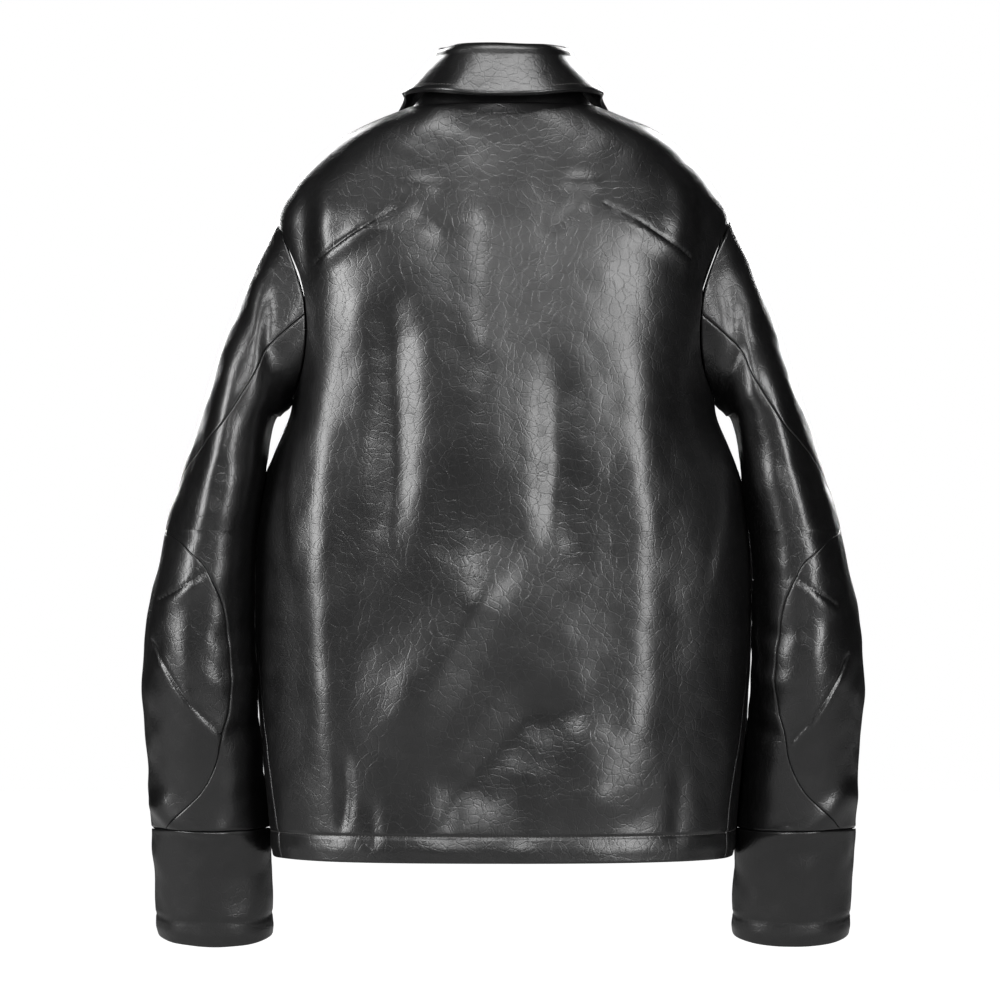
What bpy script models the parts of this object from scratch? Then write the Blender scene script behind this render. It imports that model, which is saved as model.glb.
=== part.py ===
"""Leather welding jacket, hanging from its loop.

Metres, +Z up, the front faces -Y and the wearer's left is +X. The garment is laid out from the
back of the neckline, then moved so that the origin is the hanger loop's bearing face.
"""

import math

import bpy
from mathutils import Vector

# Layers of the garment, measured inwards from the outer face of the leather.
LEATHER = 0.0022
LINING_IN = 0.0040
LINING_THICK = 0.0009
FACING_IN = 0.0030
FACING_THICK = 0.0016

# Main sizes.
LENGTH = 0.661
UNDERARM_DROP = 0.265
PRINCESS_X = 0.130
OVERLAP = 0.020
PLACKET_LIFT = 0.0085
CHEST_SEAM = 0.24
HEM_TURN = 0.023
LOOP_WIDTH = 0.008
LOOP_FLAT = 0.030
LOOP_DROP = 0.016
LOOP_THICK = 0.0024
MOUNT_Y = 0.0785
MOUNT_Z = -0.0160
AROUND_SLEEVE = 14

# Torso rings: level, half width, half depth behind, in front, and heights behind, at the side, in front.
RINGS = (
    (0.00, 0.2027, 0.1270, 0.1300, -0.661, -0.661, -0.661),
    (0.20, 0.2110, 0.1270, 0.1230, -0.582, -0.582, -0.582),
    (0.40, 0.2170, 0.1270, 0.1170, -0.503, -0.503, -0.503),
    (0.66, 0.2185, 0.1280, 0.1142, -0.400, -0.400, -0.400),
    (0.85, 0.2085, 0.1290, 0.1140, -0.325, -0.325, -0.325),
    (1.00, 0.1870, 0.1300, 0.1140, -0.265, -0.265, -0.265),
    (1.30, 0.1900, 0.1290, 0.1130, -0.188, -0.176, -0.204),
    (1.55, 0.2000, 0.1220, 0.1090, -0.116, -0.101, -0.152),
    (1.70, 0.1850, 0.1130, 0.1040, -0.080, -0.070, -0.126),
    (1.80, 0.1680, 0.1050, 0.0990, -0.056, -0.049, -0.108),
    (1.90, 0.1350, 0.0950, 0.0930, -0.028, -0.022, -0.091),
    (2.00, 0.0830, 0.0850, 0.0850, 0.000, 0.000, -0.075),
)
ROUNDNESS = 0.8
ARM_LEVEL = 1.28
ARM_LEVEL_HALF = 0.27
ARM_ANGLE_HALF = 27.0
SHOULDER_END = 1.86

# Sleeve sections: outer edge x and z, inner edge x and z, half depth, and the centre's y.
SECTIONS = (
    (0.2000, -0.101, 0.1832, -0.265, 0.070, 0.000),
    (0.2285, -0.161, 0.1912, -0.268, 0.077, 0.000),
    (0.2490, -0.214, 0.1965, -0.273, 0.082, 0.000),
    (0.2690, -0.276, 0.2025, -0.282, 0.082, 0.001),
    (0.2910, -0.347, 0.2170, -0.350, 0.078, 0.003),
    (0.3040, -0.400, 0.2225, -0.400, 0.074, 0.004),
    (0.3160, -0.453, 0.2225, -0.455, 0.070, 0.004),
    (0.3190, -0.506, 0.2212, -0.506, 0.066, 0.001),
    (0.3175, -0.542, 0.2190, -0.542, 0.063, -0.004),
    (0.3140, -0.612, 0.2128, -0.612, 0.056, -0.018),
    (0.3110, -0.683, 0.2060, -0.683, 0.049, -0.034),
    (0.3090, -0.7337, 0.2045, -0.7337, 0.044, -0.046),
)
CUFF_TILT = 0.0097
ELBOW_TOP = 4.45
ELBOW_BOTTOM = 9.35
CUFF_TOP = 10.62

# The collar: where it folds over, behind, at the sides and in front, and how far its points reach.
FOLD_X = 0.0530
FOLD_BACK = 0.0700
FOLD_FRONT = 0.0790
FOLD_Z = 0.0420
FOLD_DROP = 0.0880
FOLD_RADIUS = 0.0062
POINT_LEVELS = 0.26

STUD_SIDES = 10
STUD_HEIGHTS = (0.102, 0.265, 0.380, 0.495, 0.610)
POCKET_X = (0.124, 0.068)
POCKET_LEVELS = (0.155, 0.50)


def clear_scene():
    for obj in list(bpy.data.objects):
        bpy.data.objects.remove(obj, do_unlink=True)


def ease(t):
    t = min(1.0, max(0.0, t))
    return t * t * (3.0 - 2.0 * t)


def keyed(rows, level, column, at):
    """Smooth curve through one column of a table, by its levels."""
    last = len(rows) - 1
    i = 0
    while i < last - 1 and at > level(rows, i + 1):
        i += 1

    def slope(k):
        lo = max(k - 1, 0)
        hi = min(k + 1, last)
        return (rows[hi][column] - rows[lo][column]) / (level(rows, hi) - level(rows, lo))

    h = level(rows, i + 1) - level(rows, i)
    t = (at - level(rows, i)) / h
    a, b = rows[i][column], rows[i + 1][column]
    ease_out = 2 * t**3 - 3 * t**2 + 1
    ease_in = 3 * t**2 - 2 * t**3
    bend = slope(i) * (t**3 - 2 * t**2 + t) + slope(i + 1) * (t**3 - t**2)
    return a * ease_out + b * ease_in + h * bend


def ring_level(rows, i):
    return rows[i][0]


def section_level(rows, i):
    return float(i)


def bulge(value):
    return math.copysign(abs(value) ** ROUNDNESS, value)


def torso(angle, level):
    """Outer face of the body: angle in degrees from the centre back round to the left."""
    width, behind, before, z_back, z_side, z_front = [
        keyed(RINGS, ring_level, column, level) for column in range(1, 7)
    ]
    s = math.sin(math.radians(angle))
    c = math.cos(math.radians(angle))
    depth, z_mid = (behind, z_back) if c > 0 else (before, z_front)
    return Vector((width * bulge(s), depth * bulge(c), z_side + (z_mid - z_side) * c * c))


def front_torso(angle, level):
    """The body with the left front lifted over the right front near the opening."""
    point = torso(angle, level)
    lift = PLACKET_LIFT * ease((0.052 - point.x) / 0.022)
    return point + normal(torso, angle, level) * lift


def normal(surface, u, v):
    """Outward normal of the body or of a sleeve."""
    du, dv = 0.2, 0.003
    across = surface(u + du, v) - surface(u - du, v)
    along = surface(u, v + dv) - surface(u, v - dv)
    return along.cross(across).normalized()


def angle_at_x(x, level):
    """Angle on the front of the body at this x."""
    width = keyed(RINGS, ring_level, 1, level)
    share = min(1.0, abs(x) / width) ** (1.0 / ROUNDNESS)
    return 180.0 - math.copysign(math.degrees(math.asin(share)), x)


def arm_point(turn):
    """Angle and level of a point of the armhole; turn 0 is the shoulder, 90 the back."""
    t = math.radians(turn)
    return 90.0 - ARM_ANGLE_HALF * math.sin(t), ARM_LEVEL + ARM_LEVEL_HALF * math.cos(t)


def side_seam(level):
    return 72.0 + 18.0 * ease(level / 1.01)


def sleeve(turn, at):
    """Outer face of the left sleeve: turn 0 is outwards or up, 90 the back; at counts sections."""
    t = math.radians(turn)
    c, s = math.cos(t), math.sin(t)

    def from_section():
        ox, oz, ix, iz, depth, y = [keyed(SECTIONS, section_level, k, at) for k in range(6)]
        mid = Vector(((ox + ix) / 2, y, (oz + iz) / 2))
        half = Vector(((ox - ix) / 2, 0.0, (oz - iz) / 2))
        return mid + half * c + Vector((0.0, depth * s, 0.0))

    point = from_section()
    if at < 1.0:
        share = (1.0 - at) ** 2 * (1.0 + 0.5 * at)
        armhole = torso(*arm_point(turn))
        at_armhole = Vector((0.1916 + 0.0084 * c, 0.070 * s, -0.183 + 0.082 * c))
        point += (armhole - at_armhole) * share
    tilt = ease((at - 10.0) / 1.0)
    point.z -= CUFF_TILT * s * tilt
    return point


def collar(angle, across):
    """Inner face of the collar: across 0 is the neckline inside, 1 the edge of the fall."""
    away = abs(angle)
    s = bulge(math.sin(math.radians(angle)))
    c = bulge(math.cos(math.radians(angle)))
    outward = Vector((s, c, 0.0)).normalized()
    seam = torso(angle, 2.0)
    foot = seam - outward * 0.0060 + Vector((0.0, 0.0, 0.0040))
    drop = FOLD_DROP * ease((away - 80.0) / 95.0)
    fold = Vector((FOLD_X * s, (FOLD_BACK if c > 0 else FOLD_FRONT) * c, FOLD_Z - drop))
    if across < 0.40:
        return foot.lerp(fold - outward * FOLD_RADIUS, across / 0.40)
    if across < 0.60:
        swing = math.pi * (across - 0.40) / 0.20
        rise = Vector((0.0, 0.0, FOLD_RADIUS * math.sin(swing)))
        return fold - outward * (FOLD_RADIUS * math.cos(swing)) + rise
    level = 2.0 - POINT_LEVELS * ease((away - 96.0) / 74.0)
    out = normal(torso, angle, level)
    lift = 0.0130 - 0.0020 * ease(away / 90.0) + 0.004 * ease((away - 120.0) / 50.0)
    edge = torso(angle, level) + out * lift
    share = (across - 0.60) / 0.40
    belly = 0.004 * math.sin(math.pi * share) * ease((away - 95.0) / 40.0)
    return (fold + outward * FOLD_RADIUS).lerp(edge, share) + out * belly


def shell(name, surface, rows, outer, inner, mirror=False, keep=None, ring=False):
    """Closed sheet of leather or cloth between two depths. rows holds each level's (u, v)."""
    count = len(rows[0])
    points = []
    for depth in (outer, inner):
        for row in rows:
            points += [surface(u, v) - normal(surface, u, v) * depth for u, v in row]
    layer = count * len(rows)
    faces = []
    edges = set()
    for j in range(len(rows) - 1):
        for i in range(count if ring else count - 1):
            if keep is not None and not keep(i, j):
                continue
            k = (i + 1) % count
            a, b, c, d = j * count + i, j * count + k, (j + 1) * count + k, (j + 1) * count + i
            faces += [(a, b, c), (a, c, d)]
            faces += [(layer + a, layer + c, layer + b), (layer + a, layer + d, layer + c)]
            edges |= {(a, b), (b, c), (c, d), (d, a)}
    for a, b in sorted(edges):
        if (b, a) not in edges:
            faces += [(b, a, layer + a), (b, layer + a, layer + b)]
    return solid(name, points, faces, mirror)


def solid(name, points, faces, mirror=False):
    """Makes the object, facing outwards, in the frame of the hanger loop."""
    used = sorted({k for face in faces for k in face})
    index = {k: n for n, k in enumerate(used)}
    flip = -1.0 if mirror else 1.0
    points = [Vector((points[k][0] * flip, points[k][1], points[k][2])) for k in used]
    faces = [tuple(index[k] for k in face) for face in faces]
    volume = 0.0
    for face in faces:
        for k in range(1, len(face) - 1):
            volume += points[face[0]].dot(points[face[k]].cross(points[face[k + 1]]))
    if volume < 0:
        faces = [tuple(reversed(face)) for face in faces]
    shift = Vector((0.0, MOUNT_Y, MOUNT_Z))
    mesh = bpy.data.meshes.new(name)
    mesh.from_pydata([tuple(p - shift) for p in points], [], faces)
    bpy.context.scene.collection.objects.link(bpy.data.objects.new(name, mesh))


def both_sides(name, surface, rows, outer, inner, keep=None, ring=False):
    shell(name + "_left", surface, rows, outer, inner, False, keep, ring)
    shell(name + "_right", surface, rows, outer, inner, True, keep, ring)


def between(start, end, count):
    return [start + (end - start) * k / count for k in range(count + 1)]


def grid(levels, edges, columns):
    return [[(u, v) for u in between(*edges(v), columns)] for v in levels]


def arm_levels():
    """Levels of the armhole's points, from the underarm to the shoulder."""
    half = AROUND_SLEEVE // 2
    return [arm_point(180.0 * (half - k) / half)[1] for k in range(half + 1)]


def arm_half_angle(level):
    """Half the armhole's width at this level, in degrees, or None away from it."""
    t = (level - ARM_LEVEL) / ARM_LEVEL_HALF
    if t < -1.0 + 1e-6:
        return None
    return ARM_ANGLE_HALF * math.sqrt(max(0.0, 1.0 - t * t))


def back_edge(level, gap=0.15):
    """Where the back panel ends at this level, in degrees from the centre."""
    half = arm_half_angle(level)
    return (side_seam(level) if half is None else 90.0 - half) - gap


def side_edges(level, gap=0.15):
    """Outer and princess edges of a side front at this level."""
    half = arm_half_angle(level)
    outer = side_seam(level) if half is None else 90.0 + half
    return outer + gap, angle_at_x(PRINCESS_X, min(level, SHOULDER_END)) - gap


def front_edges(level, edge_x, gap=0.3):
    """Princess edge, or shoulder seam above it, and free edge of a front at this level."""
    outer = angle_at_x(PRINCESS_X, level) if level < SHOULDER_END + 0.004 else 90.0
    return outer + gap, angle_at_x(edge_x, level)


def level_at_height(drop):
    """Level where the princess seam is this far below the neckline."""
    low, high = 0.5, 1.8
    for _ in range(40):
        mid = (low + high) / 2
        if torso(angle_at_x(PRINCESS_X, mid), mid).z < -drop:
            low = mid
        else:
            high = mid
    return low


def body_panels():
    levels = BODY_LEVELS + arm_levels() + TOP_LEVELS
    shell("back_panel", torso, grid(levels, lambda v: (-back_edge(v), back_edge(v)), 12), 0.0, LEATHER)
    side_levels = BODY_LEVELS + arm_levels() + SIDE_TOP_LEVELS
    both_sides("side_front", torso, grid(side_levels, side_edges, 4), 0.0, LEATHER)
    for side, surface in (("left", front_torso), ("right", torso)):
        for part, cuts in (("lower", LOWER_CUTS), ("upper", UPPER_CUTS)):
            rows = [front_row(v) for v in cuts]
            shell(f"{part}_front_{side}", surface, rows, 0.0, LEATHER, side == "right")


def front_row(level):
    """Points across a front: its outer edge, the middle of the jacket and the free edge."""
    outer, free = front_edges(level, -OVERLAP)
    return [(angle, level) for angle in between(outer, 180.0, 5) + [free]]


def narrowed(row, gap):
    """The row with its two ends drawn in by this many degrees."""
    (first, level), *middle, (last, _) = row
    turn = math.copysign(gap, last - first)
    return [(first + turn, level), *middle, (last - turn, level)]


def body_insides():
    """Linings, facings and the turned-up hem, inside the leather."""
    cloth = (LINING_IN, LINING_IN + LINING_THICK)
    folded = (FACING_IN, FACING_IN + FACING_THICK)
    lined = [HEM_LEVEL + 0.003] + BODY_LEVELS[2:] + arm_levels() + TOP_LEVELS[:1]
    rows = grid(lined, lambda v: (-back_edge(v), back_edge(v)), 12)
    shell("lining_back", torso, [narrowed(row, 0.7) for row in rows], *cloth)
    lined = [HEM_LEVEL + 0.003] + BODY_LEVELS[2:] + arm_levels() + SIDE_TOP_LEVELS[:2]
    rows = grid(lined, side_edges, 4)
    both_sides("lining_side", torso, [narrowed(row, 0.7) for row in rows], *cloth)
    for side, surface in (("left", front_torso), ("right", torso)):
        lined = [HEM_LEVEL + 0.003] + LOWER_CUTS[2:-1] + UPPER_CUTS[1:-4]
        rows = [narrowed(front_row(v)[:5], 0.7) for v in lined]
        shell("lining_front_" + side, surface, rows, *cloth, side == "right")
        rows = [front_row(v) for v in [0.001] + LOWER_CUTS[1:-1] + UPPER_CUTS[1:-4]]
        rows = [narrowed(row, 0.3) for row in rows]
        hem_and_edge = lambda i, j: j == 0 or i >= 4
        shell("front_facing_" + side, surface, rows, *folded, side == "right", hem_and_edge)
    rows = []
    for v in (0.001, HEM_LEVEL):
        side_row = between(*side_edges(v), 4)
        back_row = between(-back_edge(v), back_edge(v), 12)
        angles = [-angle for angle in reversed(side_row)] + back_row[1:-1] + side_row
        rows.append(narrowed([(angle, v) for angle in angles], 0.4))
    shell("hem_facing", torso, rows, *folded)
    rows = grid([TOP_LEVELS[0] + 0.006] + TOP_LEVELS[1:], lambda v: (-back_edge(v), back_edge(v)), 12)
    shell("neck_facing", torso, [row[1:-1] for row in rows], *folded)


def collar_layers():
    rows = [[(angle, across) for angle in between(-174.0, 174.0, 24)] for across in COLLAR_CUTS]
    shell("under_collar", collar, rows, 0.0, 0.0017)
    shell("top_collar", collar, [narrowed(row, 0.5) for row in rows], 0.0021, 0.0035)


def hanger_loop():
    """Strap of the loop: up from the neck facing, level over the peg, and down again."""
    low, high = -0.052, MOUNT_Z
    bend, top = high - 0.006, high + LOOP_THICK
    inner = [(-0.026, low), (-0.026, bend), (-LOOP_FLAT / 2, high)]
    outer = [(-0.026 - LOOP_THICK, low), (-0.026 - LOOP_THICK, bend + 0.001), (-0.016, top)]
    inner += [(-x, z) for x, z in reversed(inner)]
    outer += [(-x, z) for x, z in reversed(outer)]
    points = []
    for depth in (LOOP_WIDTH, 0.0):
        for x, z in inner + outer:
            back = MOUNT_Y + LOOP_WIDTH / 2 + 0.011 * (high - z) / (high - low)
            points.append((x, back - depth, z))
    count = len(inner)
    side = 2 * count
    faces = []
    for k in range(count - 1):
        faces.append((k, k + 1, count + k + 1, count + k))
        faces.append((side + count + k, side + count + k + 1, side + k + 1, side + k))
        faces.append((k + 1, k, side + k, side + k + 1))
        faces.append((count + k, count + k + 1, side + count + k + 1, side + count + k))
    faces.append((0, count, side + count, side))
    faces.append((side + count - 1, side + 2 * count - 1, 2 * count - 1, count - 1))
    solid("hanger_loop", points, faces)


def around_arm(at):
    """Turns of the points round the arm, with one on each seam."""
    if at < ELBOW_TOP:
        first, second, split = seam_behind(at), -95.0, 7
    else:
        first, second, split = panel_behind(at), panel_before(at), 6
    turns = between(first, second, split) + between(second, first - 360.0, AROUND_SLEEVE - split)[1:]
    return turns


def arm_rings(cuts):
    return [[(turn, at) for turn in around_arm(at)[:-1]] for at in cuts]


def arm_panel(cuts, first, last):
    """Part of the way round the arm, between two of its points."""
    return [narrowed([(turn, at) for turn in around_arm(at)[first:last]], 0.7) for at in cuts]


def sleeves():
    """Both sleeves, with the seams where the outer sleeve, elbow panel and forearm meet."""
    cap = [0.035, 0.25, 0.5, 1.0, 2.0, 3.0 - 0.006]
    both_sides("outer_sleeve", sleeve, arm_panel(cap, 0, 8), 0.0, LEATHER)
    both_sides("under_sleeve", sleeve, arm_panel(cap, 7, 15), 0.0, LEATHER)
    upper = arm_rings([3.006, 3.7, ELBOW_TOP - 0.006])
    both_sides("upper_sleeve", sleeve, upper, 0.0, LEATHER, ring=True)
    elbow = [ELBOW_TOP + 0.006, 5.2, 6.0, 6.8, 7.6, 8.2, 8.8, ELBOW_BOTTOM - 0.006]
    both_sides("elbow_panel", sleeve, arm_panel(elbow, 0, 7), 0.0, LEATHER)
    both_sides("elbow_inside", sleeve, arm_panel(elbow, 6, 15), 0.0, LEATHER)
    lower = [ELBOW_BOTTOM + 0.006, 9.8, 10.2, CUFF_TOP, 11.0]
    both_sides("forearm", sleeve, arm_rings(lower), 0.0, LEATHER, ring=True)
    folded = (FACING_IN, FACING_IN + FACING_THICK)
    both_sides("cuff_facing", sleeve, arm_rings([CUFF_TOP, 10.995]), *folded, ring=True)
    cloth = (LINING_IN, LINING_IN + LINING_THICK)
    upper = [0.25, 0.5, 1.0, 2.0, 3.0, 3.7, ELBOW_TOP - 0.006]
    both_sides("sleeve_lining_upper", sleeve, arm_rings(upper), *cloth, ring=True)
    lower = elbow + [9.8, 10.2, CUFF_TOP - 0.03]
    both_sides("sleeve_lining_lower", sleeve, arm_rings(lower), *cloth, ring=True)


def seam_behind(at):
    """Turn of the seam between outer and under sleeve, behind the arm."""
    return 92.0 - 16.0 * ease(at - 2.0)


def panel_behind(at):
    """Turn of the elbow panel's edge behind the arm."""
    return 60.0 + 68.0 * math.sin(math.pi * min(1.0, max(0.0, (at - 4.2) / 5.6)))


def panel_before(at):
    """Turn of the elbow panel's edge in front of the arm."""
    return -20.0 - 35.0 * math.sin(math.pi * min(1.0, max(0.0, (at - 4.2) / 5.6)))


def pockets():
    """Patch pockets on the lower fronts, open at the top."""
    levels = between(*POCKET_LEVELS, 4)
    for side, surface in (("left", front_torso), ("right", torso)):
        rows = [[(angle_at_x(x, v), v) for x in between(*POCKET_X, 4)] for v in levels]
        shell("pocket_" + side, raised(surface), rows, 0.0, 0.0020, side == "right")


def raised(surface):
    """A front's face lifted into the pocket's shallow bag."""
    def bag(angle, level):
        point = surface(angle, level)
        outer, inner = POCKET_X
        share = (point.x - inner) / (outer - inner)
        across = math.sin(math.pi * min(1.0, max(0.0, share)))
        up = ease((level - POCKET_LEVELS[0]) / (POCKET_LEVELS[1] - POCKET_LEVELS[0]))
        return point + normal(surface, angle, level) * (0.0026 + 0.010 * across * up)
    return bag


def turned(profile, name, centre, facing):
    """Solid of revolution: profile holds (radius, height) from the axis out and back to it."""
    across = facing.orthogonal().normalized()
    other = facing.cross(across)
    points = []
    faces = []
    rings = []
    for radius, height in profile:
        if radius == 0.0:
            rings.append([len(points)])
            points.append(centre + facing * height)
            continue
        rings.append(list(range(len(points), len(points) + STUD_SIDES)))
        for k in range(STUD_SIDES):
            t = 2.0 * math.pi * k / STUD_SIDES
            spoke = across * math.cos(t) + other * math.sin(t)
            points.append(centre + facing * height + spoke * radius)
    for low, high in zip(rings, rings[1:]):
        for k in range(STUD_SIDES):
            n = (k + 1) % STUD_SIDES
            if len(low) == 1:
                faces.append((low[0], high[n], high[k]))
            elif len(high) == 1:
                faces.append((low[k], low[n], high[0]))
            else:
                faces.append((low[k], low[n], high[n], high[k]))
    solid(name, points, faces)


def press_studs():
    """Cap and socket on the left front, stud and post on the right front, at each height."""
    cap = [(0.0, 0.0003), (0.0072, 0.0003), (0.0075, 0.0010)]
    cap += [(0.0060, 0.0024), (0.0030, 0.0031), (0.0, 0.0033)]
    socket = [(0.0, -0.0001), (0.0055, -0.0001), (0.0055, -0.0016)]
    socket += [(0.0034, -0.0016), (0.0034, -0.0006), (0.0, -0.0006)]
    stud = [(0.0, 0.0003), (0.0050, 0.0003), (0.0050, 0.0009)]
    stud += [(0.0023, 0.0009), (0.0023, 0.0021), (0.0, 0.0023)]
    post = [(0.0, -0.0001), (0.0050, -0.0001), (0.0050, -0.0008), (0.0, -0.0010)]
    for number, height in enumerate(STUD_HEIGHTS, 1):
        level = middle_level(height)
        face = front_torso(180.0, level)
        facing = normal(front_torso, 180.0, level)
        behind = FACING_IN + FACING_THICK + 0.0006
        turned(cap, f"stud_cap_{number}", face, facing)
        turned(socket, f"stud_socket_{number}", face - facing * behind, facing)
        under = torso(180.0, level)
        turned(stud, f"stud_{number}", under, facing)
        turned(post, f"stud_post_{number}", under - facing * behind, facing)


def middle_level(height):
    """Level where the middle of the front is this far below the neckline."""
    low, high = 0.0, 2.0
    for _ in range(40):
        mid = (low + high) / 2
        if torso(180.0, mid).z < -height:
            low = mid
        else:
            high = mid
    return low


HEM_LEVEL = HEM_TURN / (LENGTH - UNDERARM_DROP)
BODY_LEVELS = [0.0, HEM_LEVEL, 0.22, 0.44, 0.66, 0.85]
COLLAR_CUTS = [0.0, 0.20, 0.40, 0.45, 0.50, 0.55, 0.60, 0.80, 1.0]
TOP_LEVELS = [1.70, 1.80, 1.90, 1.9985]
SIDE_TOP_LEVELS = [1.70, 1.80, SHOULDER_END]
CHEST_LEVEL = level_at_height(CHEST_SEAM)
LOWER_CUTS = [0.0] + between(HEM_LEVEL, CHEST_LEVEL - 0.0008, 8)
UPPER_CUTS = [CHEST_LEVEL + 0.0008, 1.25, 1.40, 1.55, 1.70, 1.80]
UPPER_CUTS += [SHOULDER_END + 0.002, SHOULDER_END + 0.008, 1.92, 1.9985]

clear_scene()
body_panels()
body_insides()
collar_layers()
hanger_loop()
sleeves()
pockets()
press_studs()
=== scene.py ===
"""Leather welding jacket: leather, lining, seams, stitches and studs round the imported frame.

Lengths are metres. The garment is laid out from the back of the neckline, as the frame was, and
every point is moved by NECK to the frame's origin at the hanger loop.
"""

import math

import bmesh
import bpy
import numpy as np
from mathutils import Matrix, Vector, kdtree


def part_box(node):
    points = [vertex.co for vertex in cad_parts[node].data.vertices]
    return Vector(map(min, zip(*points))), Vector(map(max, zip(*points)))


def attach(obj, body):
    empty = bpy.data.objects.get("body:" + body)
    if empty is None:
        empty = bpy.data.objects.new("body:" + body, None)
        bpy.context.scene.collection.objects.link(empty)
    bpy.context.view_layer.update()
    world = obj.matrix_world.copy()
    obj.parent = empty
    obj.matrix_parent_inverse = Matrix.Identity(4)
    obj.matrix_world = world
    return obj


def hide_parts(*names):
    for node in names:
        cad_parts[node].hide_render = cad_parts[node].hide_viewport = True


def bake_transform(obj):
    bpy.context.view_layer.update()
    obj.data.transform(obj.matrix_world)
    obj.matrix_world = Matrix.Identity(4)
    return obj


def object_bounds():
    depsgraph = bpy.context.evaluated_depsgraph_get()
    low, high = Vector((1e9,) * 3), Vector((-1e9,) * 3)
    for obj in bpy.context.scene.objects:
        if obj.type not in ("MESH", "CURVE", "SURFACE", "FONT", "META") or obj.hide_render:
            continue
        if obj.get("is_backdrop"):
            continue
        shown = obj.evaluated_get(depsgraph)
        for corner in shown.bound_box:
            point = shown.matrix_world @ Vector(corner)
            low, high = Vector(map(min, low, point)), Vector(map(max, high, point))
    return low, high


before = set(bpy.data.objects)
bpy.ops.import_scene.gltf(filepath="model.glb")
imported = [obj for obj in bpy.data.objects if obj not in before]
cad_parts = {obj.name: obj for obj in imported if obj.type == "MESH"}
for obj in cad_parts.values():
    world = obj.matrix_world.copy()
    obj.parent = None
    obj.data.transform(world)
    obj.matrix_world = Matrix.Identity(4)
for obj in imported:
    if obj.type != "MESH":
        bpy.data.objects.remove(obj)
CAD_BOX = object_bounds()

# The loop's bearing face sits this far from the back of the neckline.
NECK = np.array((0.0, -0.0785, 0.0160))

# Thickness of the leather, and how far a sewn edge turns in over how wide a roll.
LEATHER = 0.0018
TUCK = 0.0011
ROLL = 0.0024

# Each layer's depth below the leather's face, thickness, turned-in edge and finish.
LAYERS = {
    "shell": (0.0, LEATHER, TUCK, "leather"),
    "facing": (0.0024, 0.0014, TUCK, "leather"),
    "lining": (0.0040, 0.0007, 0.0, "lining"),
    "seam strip": (LEATHER + 0.00005, 0.0004, 0.0, "leather"),
    "top collar": (-0.0035, 0.0014, TUCK, "leather"),
    "under collar": (-0.0018, 0.0016, TUCK, "leather"),
    "pocket": (0.0, 0.0018, 0.0006, "leather"),
}

# Distance between points along leather, forearm, facings and linings, and from a sewn edge inwards.
PITCH = 0.0034
FOREARM_PITCH = 0.0020
FACING_PITCH = 0.006
CLOTH_PITCH = 0.009
EDGE_STEPS = np.array((0.0, 0.0005, 0.0011, 0.0019, 0.0030, 0.0046))
CREASE_REACH = 0.006

# Torso rings: level, half width, half depth behind, in front, and heights behind, at the side, in front.
RINGS = np.array((
    (0.00, 0.2027, 0.1270, 0.1300, -0.661, -0.661, -0.661),
    (0.20, 0.2110, 0.1270, 0.1230, -0.582, -0.582, -0.582),
    (0.40, 0.2170, 0.1270, 0.1170, -0.503, -0.503, -0.503),
    (0.66, 0.2185, 0.1280, 0.1142, -0.400, -0.400, -0.400),
    (0.85, 0.2085, 0.1290, 0.1140, -0.325, -0.325, -0.325),
    (1.00, 0.1870, 0.1300, 0.1140, -0.265, -0.265, -0.265),
    (1.30, 0.1900, 0.1290, 0.1130, -0.188, -0.176, -0.204),
    (1.55, 0.2000, 0.1220, 0.1090, -0.116, -0.101, -0.152),
    (1.70, 0.1850, 0.1130, 0.1040, -0.080, -0.070, -0.126),
    (1.80, 0.1680, 0.1050, 0.0990, -0.056, -0.049, -0.108),
    (1.90, 0.1350, 0.0950, 0.0930, -0.028, -0.022, -0.091),
    (2.00, 0.0830, 0.0850, 0.0850, 0.000, 0.000, -0.075),
))
ROUNDNESS = 0.8
ARM_LEVEL = 1.28
ARM_LEVEL_HALF = 0.27
ARM_ANGLE_HALF = 27.0
SIDE_SEAM_END = 1.009
SHOULDER_START = 1.55
SHOULDER_END = 1.86
NECKLINE = 1.9985

# Opening and seams on the body. SEAM_GAP is in degrees, HEM_LEVEL is where the hem's facing ends.
PRINCESS_X = 0.130
OVERLAP = 0.020
PLACKET_LIFT = 0.0085
SEAM_GAP = 0.06
HEM_LEVEL = 0.058
BACK_LINING_END = 1.70
FRONT_LINING_END = 1.80

# Sleeve sections: outer edge x and z, inner edge x and z, half depth, and the centre's y.
SECTIONS = np.array((
    (0.2000, -0.101, 0.1832, -0.265, 0.070, 0.000),
    (0.2285, -0.161, 0.1912, -0.268, 0.077, 0.000),
    (0.2490, -0.214, 0.1965, -0.273, 0.082, 0.000),
    (0.2690, -0.276, 0.2025, -0.282, 0.082, 0.001),
    (0.2910, -0.347, 0.2170, -0.350, 0.078, 0.003),
    (0.3040, -0.400, 0.2225, -0.400, 0.074, 0.004),
    (0.3160, -0.453, 0.2225, -0.455, 0.070, 0.004),
    (0.3190, -0.506, 0.2212, -0.506, 0.066, 0.001),
    (0.3175, -0.542, 0.2190, -0.542, 0.063, -0.004),
    (0.3140, -0.612, 0.2128, -0.612, 0.056, -0.018),
    (0.3110, -0.683, 0.2060, -0.683, 0.049, -0.034),
    (0.3090, -0.7337, 0.2045, -0.7337, 0.044, -0.046),
))
CUFF_TILT = 0.0097
ARM_START = 0.002
JOIN = 4.455
ELBOW_BOTTOM = 9.35
CUFF_STITCH = 10.62
CUFF_END = 11.0

# Collar, from the fold's place at the back and side.
FOLD_X = 0.0530
FOLD_BACK = 0.0700
FOLD_FRONT = 0.0790
FOLD_Z = 0.0420
FOLD_DROP = 0.0880
FOLD_RADIUS = 0.0062
STAND_END = 0.40
ROLL_END = 0.60
POINT_LEVELS = 0.26
COLLAR_START = -0.07

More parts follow.
